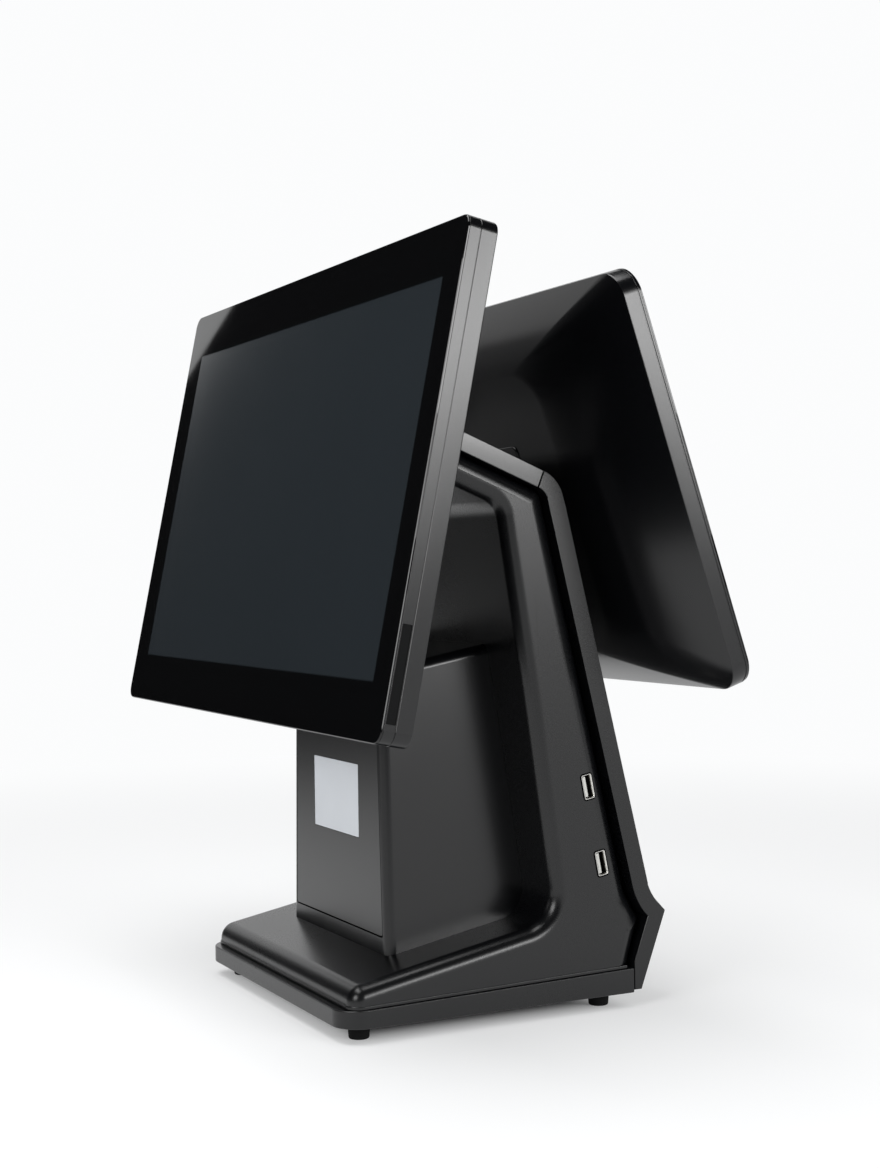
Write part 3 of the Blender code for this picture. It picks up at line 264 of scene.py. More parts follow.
class Tone:
    """Output of a shader node that takes part in Python expressions."""

    def __init__(self, finish, socket):
        self.finish = finish
        self.socket = socket

    def maths(self, operation, first, second=0.0):
        return self.finish.node("ShaderNodeMath", {"operation": operation}, {0: first, 1: second})

    def __add__(self, other):
        return self.maths("ADD", self, other)

    __radd__ = __add__

    def __sub__(self, other):
        return self.maths("SUBTRACT", self, other)

    def __rsub__(self, other):
        return self.maths("SUBTRACT", other, self)

    def __mul__(self, other):
        return self.maths("MULTIPLY", self, other)

    __rmul__ = __mul__

    def __abs__(self):
        return self.maths("ABSOLUTE", self)

    def __lt__(self, other):
        return self.maths("LESS_THAN", self, other)


class Finish:
    """Material of one finish, and the nodes that make it."""

    def __init__(self, name, tree=None):
        if tree is None:
            self.material = bpy.data.materials.new(name)
            self.material.use_nodes = True
            tree = self.material.node_tree
        self.tree = tree
        self.shader = tree.nodes.get("Principled BSDF")

    def node(self, kind, settings=None, sockets=None, output=0):
        """Node of a kind with its settings, then its socket values or links."""
        made = self.tree.nodes.new(kind)
        for key, value in (settings or {}).items():
            setattr(made, key, value)
        for key, value in (sockets or {}).items():
            self.join(made.inputs[key], value)
        return Tone(self, made.outputs[output])

    def join(self, socket, value):
        """Sets a socket to a number or colour, or links it to a tone."""
        if isinstance(value, Tone):
            self.tree.links.new(value.socket, socket)
        else:
            socket.default_value = value

    def feed(self, sockets):
        """Values or links of the main shader's sockets."""
        for key, value in sockets.items():
            self.join(self.shader.inputs[key], value)
        return self.material

    def place(self, location=(0, 0, 0), rotation=(0, 0, 0)):
        """Position on the piece, in metres, from a place and turn of its own."""
        raw = self.node("ShaderNodeTexCoord", output="Object")
        sockets = {"Vector": raw, "Location": location, "Rotation": rotation}
        return self.node("ShaderNodeMapping", {"vector_type": "TEXTURE"}, sockets)

    def split(self, vector):
        """X, Y and Z of a vector."""
        parts = self.node("ShaderNodeSeparateXYZ", sockets={0: vector}).socket.node
        return [Tone(self, output) for output in parts.outputs]

    def noise(self, place, scale, detail=2.0, roughness=0.5):
        """Cloudy pattern between about nought and one."""
        sockets = {"Vector": place, "Scale": scale, "Detail": detail, "Roughness": roughness}
        return self.node("ShaderNodeTexNoise", sockets=sockets)

    def mix(self, factor, first, second):
        """Colour between two colours."""
        sockets = {0: factor, 6: opaque(first), 7: opaque(second)}
        return self.node("ShaderNodeMix", {"data_type": "RGBA"}, sockets, 2)

    def ramp(self, value, low, high):
        """Nought below the low value and one above the high one, easing between them."""
        sockets = {"Value": value, "From Min": low, "From Max": high}
        return self.node("ShaderNodeMapRange", {"interpolation_type": "SMOOTHSTEP"}, sockets)

    def bump(self, height, strength, distance):
        """Normal raised by a height pattern."""
        sockets = {"Height": height, "Strength": strength, "Distance": distance}
        return self.node("ShaderNodeBump", sockets=sockets)


def opaque(value):
    """Colour with its fourth channel."""
    return value if isinstance(value, Tone) else (*value, 1.0)


def scaled(shade, factor):
    """Colour made darker or lighter."""
    return tuple(min(1.0, channel * factor) for channel in shade)


def moulded_plastic(name, shade, roughness, grain=0.10, gloss=0.5):
    """Satin moulded plastic: a fine spark-eroded grain over a faint cloudiness."""
    finish = Finish(name)
    place = finish.place()
    fine = finish.noise(place, 1700, 2)
    broad = finish.noise(place, 11, 3)
    return finish.feed({
        "Base Color": finish.mix(broad, scaled(shade, 0.86), scaled(shade, 1.16)),
        "Roughness": roughness + (broad - 0.5) * 0.05 + (fine - 0.5) * 0.05,
        "Normal": finish.bump(fine, grain, 0.0001),
        "Specular IOR Level": gloss,
    })


def display_glass(name, sizes, shades, tilt_frame):
    """Glass with a printed black border round the dark picture area, and faint wipe marks."""
    finish = Finish(name)
    place = finish.place(*tilt_frame)
    x, y, z = finish.split(place)
    middle = sizes.height / 2 - sizes.rise
    soft = 0.0007
    inside_x = finish.ramp(sizes.active_width / 2 - abs(x - sizes.picture_shift), -soft, soft)
    inside_z = finish.ramp(sizes.active_height / 2 - abs(z - middle), -soft, soft)
    window = inside_x * inside_z
    cloud = finish.noise(place, 5, 2)
    picture = finish.mix(cloud, scaled(shades.picture, 0.88), scaled(shades.picture, 1.14))
    wipes = finish.noise(place, 26, 4, 0.6)
    return finish.feed({
        "Base Color": finish.mix(window, tuple(shades.glass_border), picture),
        "Roughness": 0.015 + window * 0.075 + wipes * 0.02,
        "Specular IOR Level": 0.42,
    })


def worked_metal(name, shade, roughness, stretch=(1, 1, 8), grain=0.08):
    """Metal with fine drawn lines and slight clouding."""
    finish = Finish(name)
    place = finish.place()
    lines = finish.node("ShaderNodeVectorMath", {"operation": "MULTIPLY"}, {0: place, 1: stretch})
    streaks = finish.noise(lines, 900, 3)
    broad = finish.noise(place, 90, 2)
    return finish.feed({
        "Base Color": finish.mix(broad, scaled(shade, 0.82), scaled(shade, 1.08)),
        "Roughness": roughness + (streaks - 0.5) * 0.14,
        "Metallic": 1.0,
        "Normal": finish.bump(streaks, grain, 0.00005),
    })


def plated_shell(name, shade, face):
    """Plated socket shell: bright at its mouth, rougher further in, and darkened further in by painted
    shade.
    """
    finish = Finish(name)
    place = finish.place()
    x, y, z = finish.split(place)
    # depth grows from the mouth inward: it darkens the colour toward near black as painted shade, and
    # roughens the metal
    depth = finish.ramp(face - x, 0.0006, 0.0022)
    broad = finish.noise(place, 300, 2)
    bright = finish.mix(broad, scaled(shade, 0.85), scaled(shade, 1.08))
    return finish.feed({
        "Base Color": finish.mix(depth, bright, scaled(shade, 0.03)),
        "Roughness": 0.24 + depth * 0.3 + (broad - 0.5) * 0.1,
        "Metallic": 1.0,
        "Normal": finish.bump(broad, 0.05, 0.00005),
    })


def matt_rubber(name, shade):
    """Matt rubber with a dusty surface."""
    finish = Finish(name)
    place = finish.place()
    dust = finish.noise(place, 420, 4)
    return finish.feed({
        "Base Color": finish.mix(dust, scaled(shade, 0.8), scaled(shade, 1.9)),
        "Roughness": 0.74 + dust * 0.14,
        "Normal": finish.bump(dust, 0.25, 0.0002),
        "Specular IOR Level": 0.15,
    })


def label_film(name, shade):
    """Blank label: satin film with a faint coated texture."""
    finish = Finish(name)
    place = finish.place()
    fibre = finish.noise(place, 900, 3)
    broad = finish.noise(place, 40, 2)
    return finish.feed({
        "Base Color": finish.mix(broad, scaled(shade, 0.94), scaled(shade, 1.05)),
        "Roughness": 0.42 + fibre * 0.12,
        "Normal": finish.bump(fibre, 0.06, 0.0001),
    })


def board_laminate(name, shade):
    """Solder-masked board with paler tracks and bright pads."""
    finish = Finish(name)
    place = finish.place()
    cells = finish.node("ShaderNodeTexVoronoi", {"feature": "DISTANCE_TO_EDGE", "distance": "CHEBYCHEV"},
                        {"Vector": place, "Scale": 230.0})
    spots = finish.node("ShaderNodeTexVoronoi", {"distance": "CHEBYCHEV"}, {"Vector": place, "Scale": 310.0})
    tracks = cells < 0.09
    pads = spots < 0.16
    mask = finish.mix(tracks, scaled(shade, 0.8), scaled(shade, 1.7))
    return finish.feed({
        "Base Color": finish.mix(pads, mask, (0.62, 0.55, 0.36)),
        "Metallic": pads * 0.9,
        "Roughness": 0.46 - pads * 0.16,
        "Normal": finish.bump(tracks + pads, 0.2, 0.0001),
    })


def finishes():
    """Every finish, made once and found again by its name."""
    shades = bpy.context.scene.terminal_finishes
    black, satin = tuple(shades.plastic), shades.plastic_roughness
    makers = {
        "stand_plastic": lambda name: moulded_plastic(name, black, satin + 0.06),
        "display_plastic": lambda name: moulded_plastic(name, black, satin, 0.06),
        "box_plastic": lambda name: moulded_plastic(name, scaled(black, 1.05), satin + 0.03, 0.14),
        "cover_plastic": lambda name: moulded_plastic(name, black, satin - 0.05, 0.06, 0.66),
        "button_moulding": lambda name: moulded_plastic(name, scaled(black, 1.5), satin - 0.08, 0.05),
        "socket_moulding": lambda name: moulded_plastic(name, scaled(black, 0.8), satin + 0.1, 0.1),
        "tongue_moulding": lambda name: moulded_plastic(name, tuple(shades.tongue), 0.4, 0.03),
        "label_film": lambda name: label_film(name, tuple(shades.label)),
        "matt_rubber": lambda name: matt_rubber(name, tuple(shades.rubber)),
        "plated_shell": lambda name: plated_shell(name, tuple(shades.bright_metal),
                                                  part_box("usb_shell_upper")[1].x),
        "plated_box": lambda name: worked_metal(name, tuple(shades.bright_metal), 0.24),
        "contact_brass": lambda name: worked_metal(name, (0.66, 0.52, 0.26), 0.3),
        "pin_steel": lambda name: worked_metal(name, (0.62, 0.62, 0.61), 0.27, (8, 1, 1)),
        "black_steel": lambda name: worked_metal(name, tuple(shades.dark_metal), 0.44, (1, 6, 1)),
        "sink_aluminium": lambda name: worked_metal(name, (0.56, 0.57, 0.59), 0.34, (1, 1, 9)),
        "board_laminate": lambda name: board_laminate(name, tuple(shades.board)),
    }
    for name, make in makers.items():
        if name not in bpy.data.materials:
            make(name)
    return bpy.data.materials


def verts_of(made):
    """Vertices among the geometry that an operator made."""
    return [item for item in made["geom"] if isinstance(item, bmesh.types.BMVert)]


def bevel(bm, edges, radius, segments, clamp=True):
    """Round edges."""
    bmesh.ops.bevel(
        bm, geom=edges, offset=radius, offset_type="OFFSET", affect="EDGES", segments=segments,
        profile=0.5, material=-1, clamp_overlap=clamp,
    )


def round_corner(bm, vert, radius, segments):
    """Arc of a radius in place of a flat outline's corner."""
    first, second = (edge.other_vert(vert).co - vert.co for edge in vert.link_edges)
    reach = radius / math.tan(first.angle(second) / 2)
    bmesh.ops.bevel(
        bm, geom=[vert], offset=reach, offset_type="OFFSET", affect="VERTICES", segments=segments,
        profile=0.5, material=-1, clamp_overlap=False,
    )


def side_profile(corners, half_width, segments=10):
    """Solid between two widths whose side outline runs through corners given as (y, z, radius)."""
    bm = bmesh.new()
    verts = [bm.verts.new((-half_width, y, z)) for y, z, radius in corners]
    bm.faces.new(verts)
    for vert, (y, z, radius) in zip(verts, corners):
        if radius:
            round_corner(bm, vert, radius, segments)
    pushed = bmesh.ops.extrude_face_region(bm, geom=bm.faces[:])
    bmesh.ops.translate(bm, verts=verts_of(pushed), vec=(2 * half_width, 0, 0))
    bmesh.ops.recalc_face_normals(bm, faces=bm.faces)
    return bm


def slab(size, centre, axis, radius=0.0, segments=10):
    """Block with its four edges along an axis rounded."""
    bm = bmesh.new()
    bmesh.ops.create_cube(bm, size=1)
    bmesh.ops.scale(bm, vec=size, verts=bm.verts)
    bmesh.ops.translate(bm, vec=centre, verts=bm.verts)
    if radius:
        run = "XYZ".index(axis)
        along = [e for e in bm.edges if abs((e.verts[0].co - e.verts[1].co)[run]) > 1e-6]
        bevel(bm, along, radius, segments)
    return bm


def rod(radius, depth, centre, turn=None, segments=48, taper=1.0):
    """Cylinder or cone along Z, turned by a matrix if one is given."""
    bm = bmesh.new()
    bmesh.ops.create_cone(
        bm, cap_ends=True, segments=segments, radius1=radius, radius2=radius * taper, depth=depth
    )
    if turn is not None:
        bmesh.ops.rotate(bm, verts=bm.verts, matrix=turn)
    bmesh.ops.translate(bm, verts=bm.verts, vec=centre)
    return bm


def sharp_edges(bm, wanted=None):
    """Edges that turn sharply, or those of them for which a test is true."""
    found = [e for e in bm.edges if e.is_manifold and e.calc_face_angle(0) > SHARP]
    return [e for e in found if wanted is None or wanted(e)]


def middle_of(edge):
    """Halfway point of an edge."""
    return (edge.verts[0].co + edge.verts[1].co) / 2


def shifted(points, distance):
    """Open line of points moved sideways, to the left of its direction where distance is positive."""
    runs = [(b - a).normalized() for a, b in zip(points, points[1:])]
    sides = [Vector((-run.y, run.x)) for run in runs]
    moved = []
    for i, point in enumerate(points):
        first, second = sides[max(i - 1, 0)], sides[min(i, len(sides) - 1)]
        middle = (first + second).normalized()
        moved.append(point + middle * distance / middle.dot(first))
    return moved


def cut_at_height(first, second, z):
    """Point between two others at a height."""
    return first.lerp(second, (first.y - z) / (first.y - second.y))


def seam_z(y):
    """Height of the tray's upper edge at a depth in the stand."""
    return FOOT_HEIGHT + TRAY_FRONT_HEIGHT + (TRAY_REAR_HEIGHT - TRAY_FRONT_HEIGHT) * y / TRAY_DEPTH


def base_top_z(y):
    """Height of the base's sloping top at a depth in the stand."""
    return BASE_FRONT_TOP + math.tan(BASE_SLOPE) * (y - BASE_SETBACK)


def arm_point(along, deep):
    """Place in the arm, as (y, z): along it from its end, and deep under its top."""
    return ARM_END + ARM_RUN * along - ARM_UP * deep


def box_half(z):
    """Half the width of the computer box at a height."""
    half = (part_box("computer_box")[1].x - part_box("computer_box")[0].x) / 2
    return half - math.tan(BOX_DRAFT) * max(0.0, z - base_top_z(BOX_FRONT))


def in_stand(bm):
    """Moves a mesh drawn from the tray's front to its place in the object."""
    bmesh.ops.translate(bm, verts=bm.verts, vec=(0, STAND_FRONT, 0))
    return bm


def smooth_mesh(name, bm):
    """Mesh with soft shading except over sharp edges."""
    mesh = bpy.data.meshes.new(name)
    bm.to_mesh(mesh)
    bm.free()
    mesh.shade_smooth()
    mesh.set_sharp_from_angle(angle=SHARP)
    return mesh


def carve(target, cutters, operation="DIFFERENCE"):
    """Cuts solids out of a piece, or joins them to it, for good."""
    for bm in cutters:
        tool = bpy.data.objects.new("carving", smooth_mesh("carving", bm))
        bpy.context.collection.objects.link(tool)
        step = target.modifiers.new("carving", "BOOLEAN")
        step.operation = operation
        step.solver = "EXACT"
        step.object = tool
        graph = bpy.context.evaluated_depsgraph_get()
        made = bpy.data.meshes.new_from_object(target.evaluated_get(graph))
        target.modifiers.clear()
        old, target.data = target.data, made
        bpy.data.meshes.remove(old)
        spent = tool.data
        bpy.data.objects.remove(tool)
        bpy.data.meshes.remove(spent)
    if not target.data.polygons:
        raise RuntimeError(f"cutting {target.name} left nothing of it")
    target.data.shade_smooth()
    target.data.set_sharp_from_angle(angle=SHARP)


def piece(name, bm, finish, body, nodes, cutters=()):
    """Finished piece that rides on a body and stands for nodes of the frame."""
    made = bpy.data.objects.new(name, smooth_mesh(name, bm))
    bpy.context.collection.objects.link(made)
    made.data.materials.append(finish if isinstance(finish, bpy.types.Material) else finishes()[finish])
    if cutters:
        carve(made, cutters)
    flat = made.modifiers.new("even_shading", "WEIGHTED_NORMAL")
    flat.keep_sharp = True
    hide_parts(*nodes)
    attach(made, body)
    return made


def dress(nodes, finish):
    """Gives nodes of the frame a finish."""
    for name in nodes:
        slots = frame["nodes"][name].data.materials
        slots.clear()
        slots.append(finishes()[finish])


def reshape(verts, old, new):
    """Moves a ring of a rounded outline to another, each half width, half height, radius, middle."""
    for vert in verts:
        for axis, side, old_centre, new_centre in ((0, 0, 0.0, 0.0), (2, 1, old[3], new[3])):
            offset = vert.co[axis] - old_centre
            arc = (abs(offset) - (old[side] - old[2])) / old[2]
            vert.co[axis] = new_centre + math.copysign(new[side] - new[2] + arc * new[2], offset)


class Display:
    """One display's pieces, drawn in a frame on its hinge axis and then put in place."""

    def __init__(self, name, sizes, joint, turn):
        self.name = name
        self.sizes = sizes
        self.body = name + "_display"
        self.middle = sizes.height / 2 - sizes.rise
        self.axis = Vector(JOINTS[joint]["pos_m"])
        self.rotation = (-sizes.tilt, 0, turn)
        turned = Matrix.Rotation(turn, 4, "Z") @ Matrix.Rotation(-sizes.tilt, 4, "X")
        self.matrix = Matrix.Translation(self.axis) @ turned

    def at(self, depth):
        """Local Y of a depth behind the front of the glass."""
        return depth - self.sizes.depth - self.sizes.standoff

    def plate(self, width, height, low, high, radius, middle=None, segments=12):
        """Rounded plate between two depths."""
        first, last = self.at(low), self.at(high)
        centre = (0, (first + last) / 2, self.middle if middle is None else middle)
        return slab((width, last - first, height), centre, "Y", radius, segments)

    def put(self, name, bm, finish, slot, nodes, cutters=()):
        """Finished piece of the display."""
        for mesh in (bm, *cutters):
            mesh.transform(self.matrix)
        names = [f"{self.name}_{node}" for node in nodes]
        return piece(f"{self.name}_{name}", bm, finish, self.body, names, cutters)

    def glass(self):
        """Front glass with polished edges."""
        s = self.sizes
        width, height = s.width - GAP, s.height - GAP
        bm = self.plate(width, height, 0, s.glass, s.corner)
        front = self.at(0)
        bevel(bm, sharp_edges(bm, lambda e: abs(middle_of(e).y - front) < 1e-6), s.glass * 0.40, 1)
        shades = bpy.context.scene.terminal_finishes
        finish = display_glass(f"{self.name}_glass", s, shades, (self.axis, self.rotation))
        return self.put("front_glass", bm, finish, "touch_glass", ["glass"])

    def bezel(self, edge, cutters=()):
        """Band behind the glass: a frame open in the middle."""
        s = self.sizes
        bm = self.plate(s.width, s.height, s.glass + GAP / 3, s.band, s.corner)
        bevel(bm, sharp_edges(bm), edge, 3)
        flats = [f for f in bm.faces if abs(f.normal.y) > 0.999]
        border = (s.width - s.active_width) / 2 - 0.006
        bmesh.ops.inset_individual(bm, faces=flats, thickness=border)
        rings = [e for f in flats for e in f.edges]
        bmesh.ops.delete(bm, geom=flats, context="FACES_ONLY")
        bmesh.ops.bridge_loops(bm, edges=rings)
        bmesh.ops.recalc_face_normals(bm, faces=bm.faces)
        slot = f"{self.name}_display_plastic"
        return self.put("bezel_band", bm, "display_plastic", slot, ["bezel"], cutters)

    def ring(self, inset, radius, part=0.0):
        """Outline a part of the way from the rim in to the back's middle: half sizes, radius, middle."""
        s = self.sizes
        margins = (s.back_side, s.back_below, s.back_above)
        side, below, above = (inset + (margin - inset) * part for margin in margins)
        middle = self.middle + (below - above) / 2
        return s.width / 2 - side, (s.height - below - above) / 2, radius, middle

    def housing(self, steps, cutters=()):
        """Rear housing: a lip in the seam, a straight rim, then a swelling back with a flat middle."""
        s = self.sizes
        lip, ease, back_corner = 0.0003, 0.0002, 0.024
        old = self.ring(lip, s.corner - lip)
        start = s.band + s.seam
        bm = self.plate(2 * old[0], 2 * old[1], s.band + GAP / 3, start, old[2])
        stations = [(start, self.ring(ease, s.corner)), (start + ease, self.ring(0, s.corner)),
                    (s.rim - 0.0006, self.ring(0, s.corner))]
        for k in range(steps + 1):
            part = k / steps
            swell = (s.depth + s.back_rise - s.rim) * (1 - (1 - part) ** s.back_swell)
            radius = s.corner + (back_corner - s.corner) * part
            stations.append((s.rim + swell, self.ring(ease, radius, part)))
        for depth, new in stations:
            back = max(bm.faces, key=lambda f: (round(f.calc_center_median().y, 6), f.calc_area()))
            pushed = bmesh.ops.extrude_face_region(bm, geom=[back])
            bmesh.ops.delete(bm, geom=[back], context="FACES_ONLY")
            ring = verts_of(pushed)
            reshape(ring, old, new)
            for vert in ring:
                vert.co.y = self.at(depth)
            old = new
        bmesh.ops.recalc_face_normals(bm, faces=bm.faces)
        slot = f"{self.name}_display_plastic"
        return self.put("rear_housing_shell", bm, "display_plastic", slot, ["rear_housing"], cutters)


class TERMINAL_OT_main_display(bpy.types.Operator):
    """Build the touch display"""

    bl_idname = "terminal.main_display"
    bl_label = "Touch Display"
    bl_options = {"REGISTER", "UNDO"}

    def execute(self, context):
        display = Display("main", context.scene.terminal_main, "main_tilt", 0.0)
        display.glass()
        display.bezel(0.0002, [self.strip_recess(display)])
        self.side_strip(display)
        display.housing(20)
        dress(["main_panel"], "socket_moulding")
        dress(["main_driver_board"], "board_laminate")
        return {"FINISHED"}

    def strip_solid(self, display, inset, deep, rise):
        """Bar in the bezel's right side, from near its foot upward."""
        s = display.sizes
        low, high = s.glass + 0.0006 + inset, s.band - 0.0003 - inset
        foot, head = -s.rise + 0.010 + inset, -s.rise + 0.0565 - inset
        first, last = display.at(low), display.at(high)
        centre = (s.width / 2 - deep / 2 + rise, (first + last) / 2, (foot + head) / 2)
        return slab((deep, last - first, head - foot), centre, "X", 0.0004, 3)

    def strip_recess(self, display):
        """Recess for the strip."""
        return self.strip_solid(display, 0.0, 0.0024, 0.0010)

    def side_strip(self, display):
        """Matt strip that closes the slot in the bezel's right side."""
        bm = self.strip_solid(display, 0.0001, 0.0010, -0.0003)
        display.put("side_strip", bm, "matt_rubber", "main_display_plastic", [])


class TERMINAL_OT_customer_display(bpy.types.Operator):
    """Build the customer display"""

    bl_idname = "terminal.customer_display"
    bl_label = "Customer Display"
    bl_options = {"REGISTER", "UNDO"}

    def execute(self, context):
        display = Display("customer", context.scene.terminal_customer, "customer_tilt", math.pi)
        display.glass()
        display.bezel(0.0002)
        display.housing(20)
        self.rear_cover(display)
        dress(["customer_panel"], "socket_moulding")
        dress(["customer_driver_board"], "board_laminate")
        return {"FINISHED"}

    def rear_cover(self, display):
        """Raised cover on the back."""
        depth = display.sizes.depth
        width, height, bottom, proud = 0.092, 0.118, 0.030, 0.003
        middle = bottom + height / 2 - display.sizes.rise
        bm = display.plate(width, height, depth + GAP, depth + proud, 0.004, middle)
        back = display.at(depth + proud)
        bevel(bm, sharp_edges(bm, lambda e: abs(middle_of(e).y - back) < 1e-6), 0.0008, 4)
        slot = "customer_display_plastic"
        display.put("rear_cover_plate", bm, "display_plastic", slot, ["rear_cover"])


class TERMINAL_OT_stand_shell(bpy.types.Operator):
    """Build the stand's front shell"""

    bl_idname = "terminal.stand_shell"
    bl_label = "Stand Shell"
    bl_options = {"REGISTER", "UNDO"}

    def execute(self, context):
        sizes = context.scene.terminal_stand
        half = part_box("stand_shell")[1].x
        front = self.front_corners()
        rear = self.rear_corners()
        bm = side_profile(front + rear, half)
        bevel(bm, [e for e in bm.edges if self.on_front(e, half)], sizes.base_edge, 8, False)
        bevel(bm, [e for e in bm.edges if self.on_rear(e, half)], sizes.rear_edge, 8, False)
        self.widen_rear(bm, half, sizes)
        in_stand(bm)
        piece("stand_front_shell", bm, "stand_plastic", "stand", ["stand_shell"],
              self.openings(half))
        return {"FINISHED"}

    def front_corners(self):
        """Front line from the tray up to the arm's end, as (y, z, radius)."""
        arm_end = ARM_CORNER + ARM_RUN * (ARM_END - ARM_CORNER).dot(ARM_RUN)
        return [
            (BASE_SETBACK, seam_z(BASE_SETBACK) + GAP, 0),
            (BASE_SETBACK, BASE_FRONT_TOP, 0),
            (COLUMN_FOOT_Y, base_top_z(COLUMN_FOOT_Y), COLUMN_FOOT_RADIUS),
            (*COLUMN_BEND, 0.8),
            (*ARM_CORNER, 0.012),
            (*arm_end, 0),
        ]

    def rear_corners(self):
        """Line under the covers from the arm's end to the seam above the tray."""
        inset = COVER_DEPTH + GAP
        line = shifted([ARM_END, TOP_CORNER, FLARE, HEEL, HEEL_FOOT], -inset)
        line[-1] = cut_at_height(line[-2], line[-1], seam_z(TRAY_DEPTH) + GAP)
        radii = (0, TOP_CORNER_RADIUS - inset, FLARE_RADIUS + inset, 0, 0)
        return [(*p, r) for p, r in zip(line, radii)]

    def path_normal(self, edge, half):
        """Normal of the outline face beside a side edge, or nothing for other edges."""
        first, second = (v.co.x for v in edge.verts)
        if abs(abs(first) - half) > 1e-6 or abs(first - second) > 1e-6:
            return None
        normals = [f.normal for f in edge.link_faces if abs(f.normal.x) < 0.5]
        return normals[0] if len(normals) == 1 else None

    def on_front(self, edge, half):
        """True for the edges between the front line and the sides, and the base's front edge."""
        top = Vector((BASE_SETBACK, BASE_FRONT_TOP))
        if all((Vector(v.co.yz) - top).length < 1e-6 for v in edge.verts):
            return True
        normal = self.path_normal(edge, half)
        return normal is not None and normal.y < -0.05 and not self.at_arm_end(edge)

    def on_rear(self, edge, half):
        """True for the edges between the line under the covers and the sides."""
        normal = self.path_normal(edge, half)
        return normal is not None and normal.y > 0.1

    def at_arm_end(self, edge):
        """True for the edges of the arm's end face."""
        return all(abs((Vector(v.co.yz) - ARM_END).dot(ARM_RUN)) < 1e-5 for v in edge.verts)

    def widen_rear(self, bm, half, sizes):
        """Lets the rounding beside the back cover grow down the column."""
        top, knee, heel = shifted([TOP_CORNER, FLARE, HEEL], -COVER_DEPTH - GAP)
        gain = sizes.column_rear / sizes.rear_edge - 1
        for vert in bm.verts:
            place = Vector(vert.co.yz)
            start, end = (top, knee) if place.y > knee.y else (knee, heel)
            run = (end - start).normalized()
            inward = Vector((run.y, -run.x))
            deep = (place - start).dot(inward)
            side = half - abs(vert.co.x)
            if max(abs(deep), side) > sizes.rear_edge * 1.02:
                continue
            fall = min(1, max(0, (0.285 - place.y) / 0.025))
            grow = gain * fall * fall * (3 - 2 * fall)
            vert.co.x = math.copysign(half - side * (1 + grow), vert.co.x)
            vert.co.y, vert.co.z = place + inward * max(deep, 0) * grow

    def openings(self, half):
        """Holes for the side sockets and the button, and slots for the hinge lugs."""
        made = []
        for name, place in USB_PLACES:
            hole = slab((0.028, 0.0080, 0.0150), (half, 0, 0), "X", 0.0019, 6)
            made.append(in_stand(tilted(hole, place)))
        turn = Matrix.Rotation(math.pi / 2, 3, "Y")
        hole = rod(0.0059, 0.034, (-half, *BUTTON_PLACE), turn)
        made.append(in_stand(hole))
        for x in (-0.044, 0.044):
            slot = slab((0.0052, 0.011, 0.0112), (x, 0, 0), "X", 0.0008, 3)
            spin = Matrix.Rotation(-TOP_SLOPE, 3, "X")
            bmesh.ops.rotate(slot, verts=slot.verts, matrix=spin)
            bmesh.ops.translate(slot, verts=slot.verts, vec=(0, *arm_point(-0.002, 0.0125)))
            made.append(in_stand(slot))
        return made


def socket_tilt():
    """Lean of the side sockets, which follow the line through them."""
    run = USB_PLACES[0][1] - USB_PLACES[1][1]
    return math.atan2(-run.x, run.y)


def tilted(bm, place):
    """Turns a side socket's mesh to the sockets' lean and moves it to its place."""
    bmesh.ops.rotate(bm, verts=bm.verts, matrix=Matrix.Rotation(socket_tilt(), 3, "X"))
    bmesh.ops.translate(bm, verts=bm.verts, vec=(0, *place))
    return bm


class TERMINAL_OT_base(bpy.types.Operator):
    """Build the tray and its feet"""

    bl_idname = "terminal.base"
    bl_label = "Tray and Feet"
    bl_options = {"REGISTER", "UNDO"}

    def execute(self, context):
        sizes = context.scene.terminal_stand
        self.tray(sizes)
        self.lip(sizes)
        self.feet()
        dress(["ballast_plate"], "black_steel")
        return {"FINISHED"}

    def tray(self, sizes):
        """Shallow tray with round front corners and eased edges."""
        half = TRAY_HIGH.x
        corners = [(0, FOOT_HEIGHT, 0), (TRAY_DEPTH, FOOT_HEIGHT, 0),
                   (TRAY_DEPTH, seam_z(TRAY_DEPTH), 0), (0, seam_z(0), 0)]
        bm = side_profile(corners, half)
        fronts = [e for e in bm.edges if all(v.co.y < 1e-6 for v in e.verts)
                  and abs(e.verts[0].co.x - e.verts[1].co.x) < 1e-6]
        bevel(bm, fronts, sizes.tray_corner, 12)
        bevel(bm, sharp_edges(bm), 0.0007, 3)
        piece("base_tray_moulding", in_stand(bm), "stand_plastic", "stand", ["base_tray"])

    def lip(self, sizes):
        """Thin lip along the shell's lower edge."""
        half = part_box("stand_shell")[1].x + sizes.lip_out * 0.5
        front = BASE_SETBACK - sizes.lip_out
        rear = TRAY_DEPTH - 0.004
        corners = [(front, seam_z(front) + GAP, 0), (rear, seam_z(rear) + GAP, 0),
                   (rear, seam_z(rear) + sizes.lip_height, 0), (front, seam_z(front) + sizes.lip_height, 0)]
        bm = side_profile(corners, half)
        fronts = [e for e in bm.edges if all(v.co.y < front + 1e-6 for v in e.verts)
                  and abs(e.verts[0].co.x - e.verts[1].co.x) < 1e-6]
        bevel(bm, fronts, sizes.base_edge + sizes.lip_out, 12)
        bevel(bm, sharp_edges(bm, lambda e: all(v.co.z > seam_z(v.co.y) + GAP * 2 for v in e.verts)),
              0.0005, 4)
        piece("shell_lower_lip", in_stand(bm), "stand_plastic", "stand", [])

    def feet(self):
        """Tapered rubber feet with an eased tread."""
        for name in ("front_left", "front_right", "rear_left", "rear_right"):
            low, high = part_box("foot_" + name)
            centre = (low + high) / 2
            bm = rod((high.x - low.x) / 2 * 0.9, high.z - low.z, centre, taper=1 / 0.9)
            bevel(bm, sharp_edges(bm), 0.0008, 4)
            piece("rubber_foot_" + name, bm, "matt_rubber", "stand", ["foot_" + name])


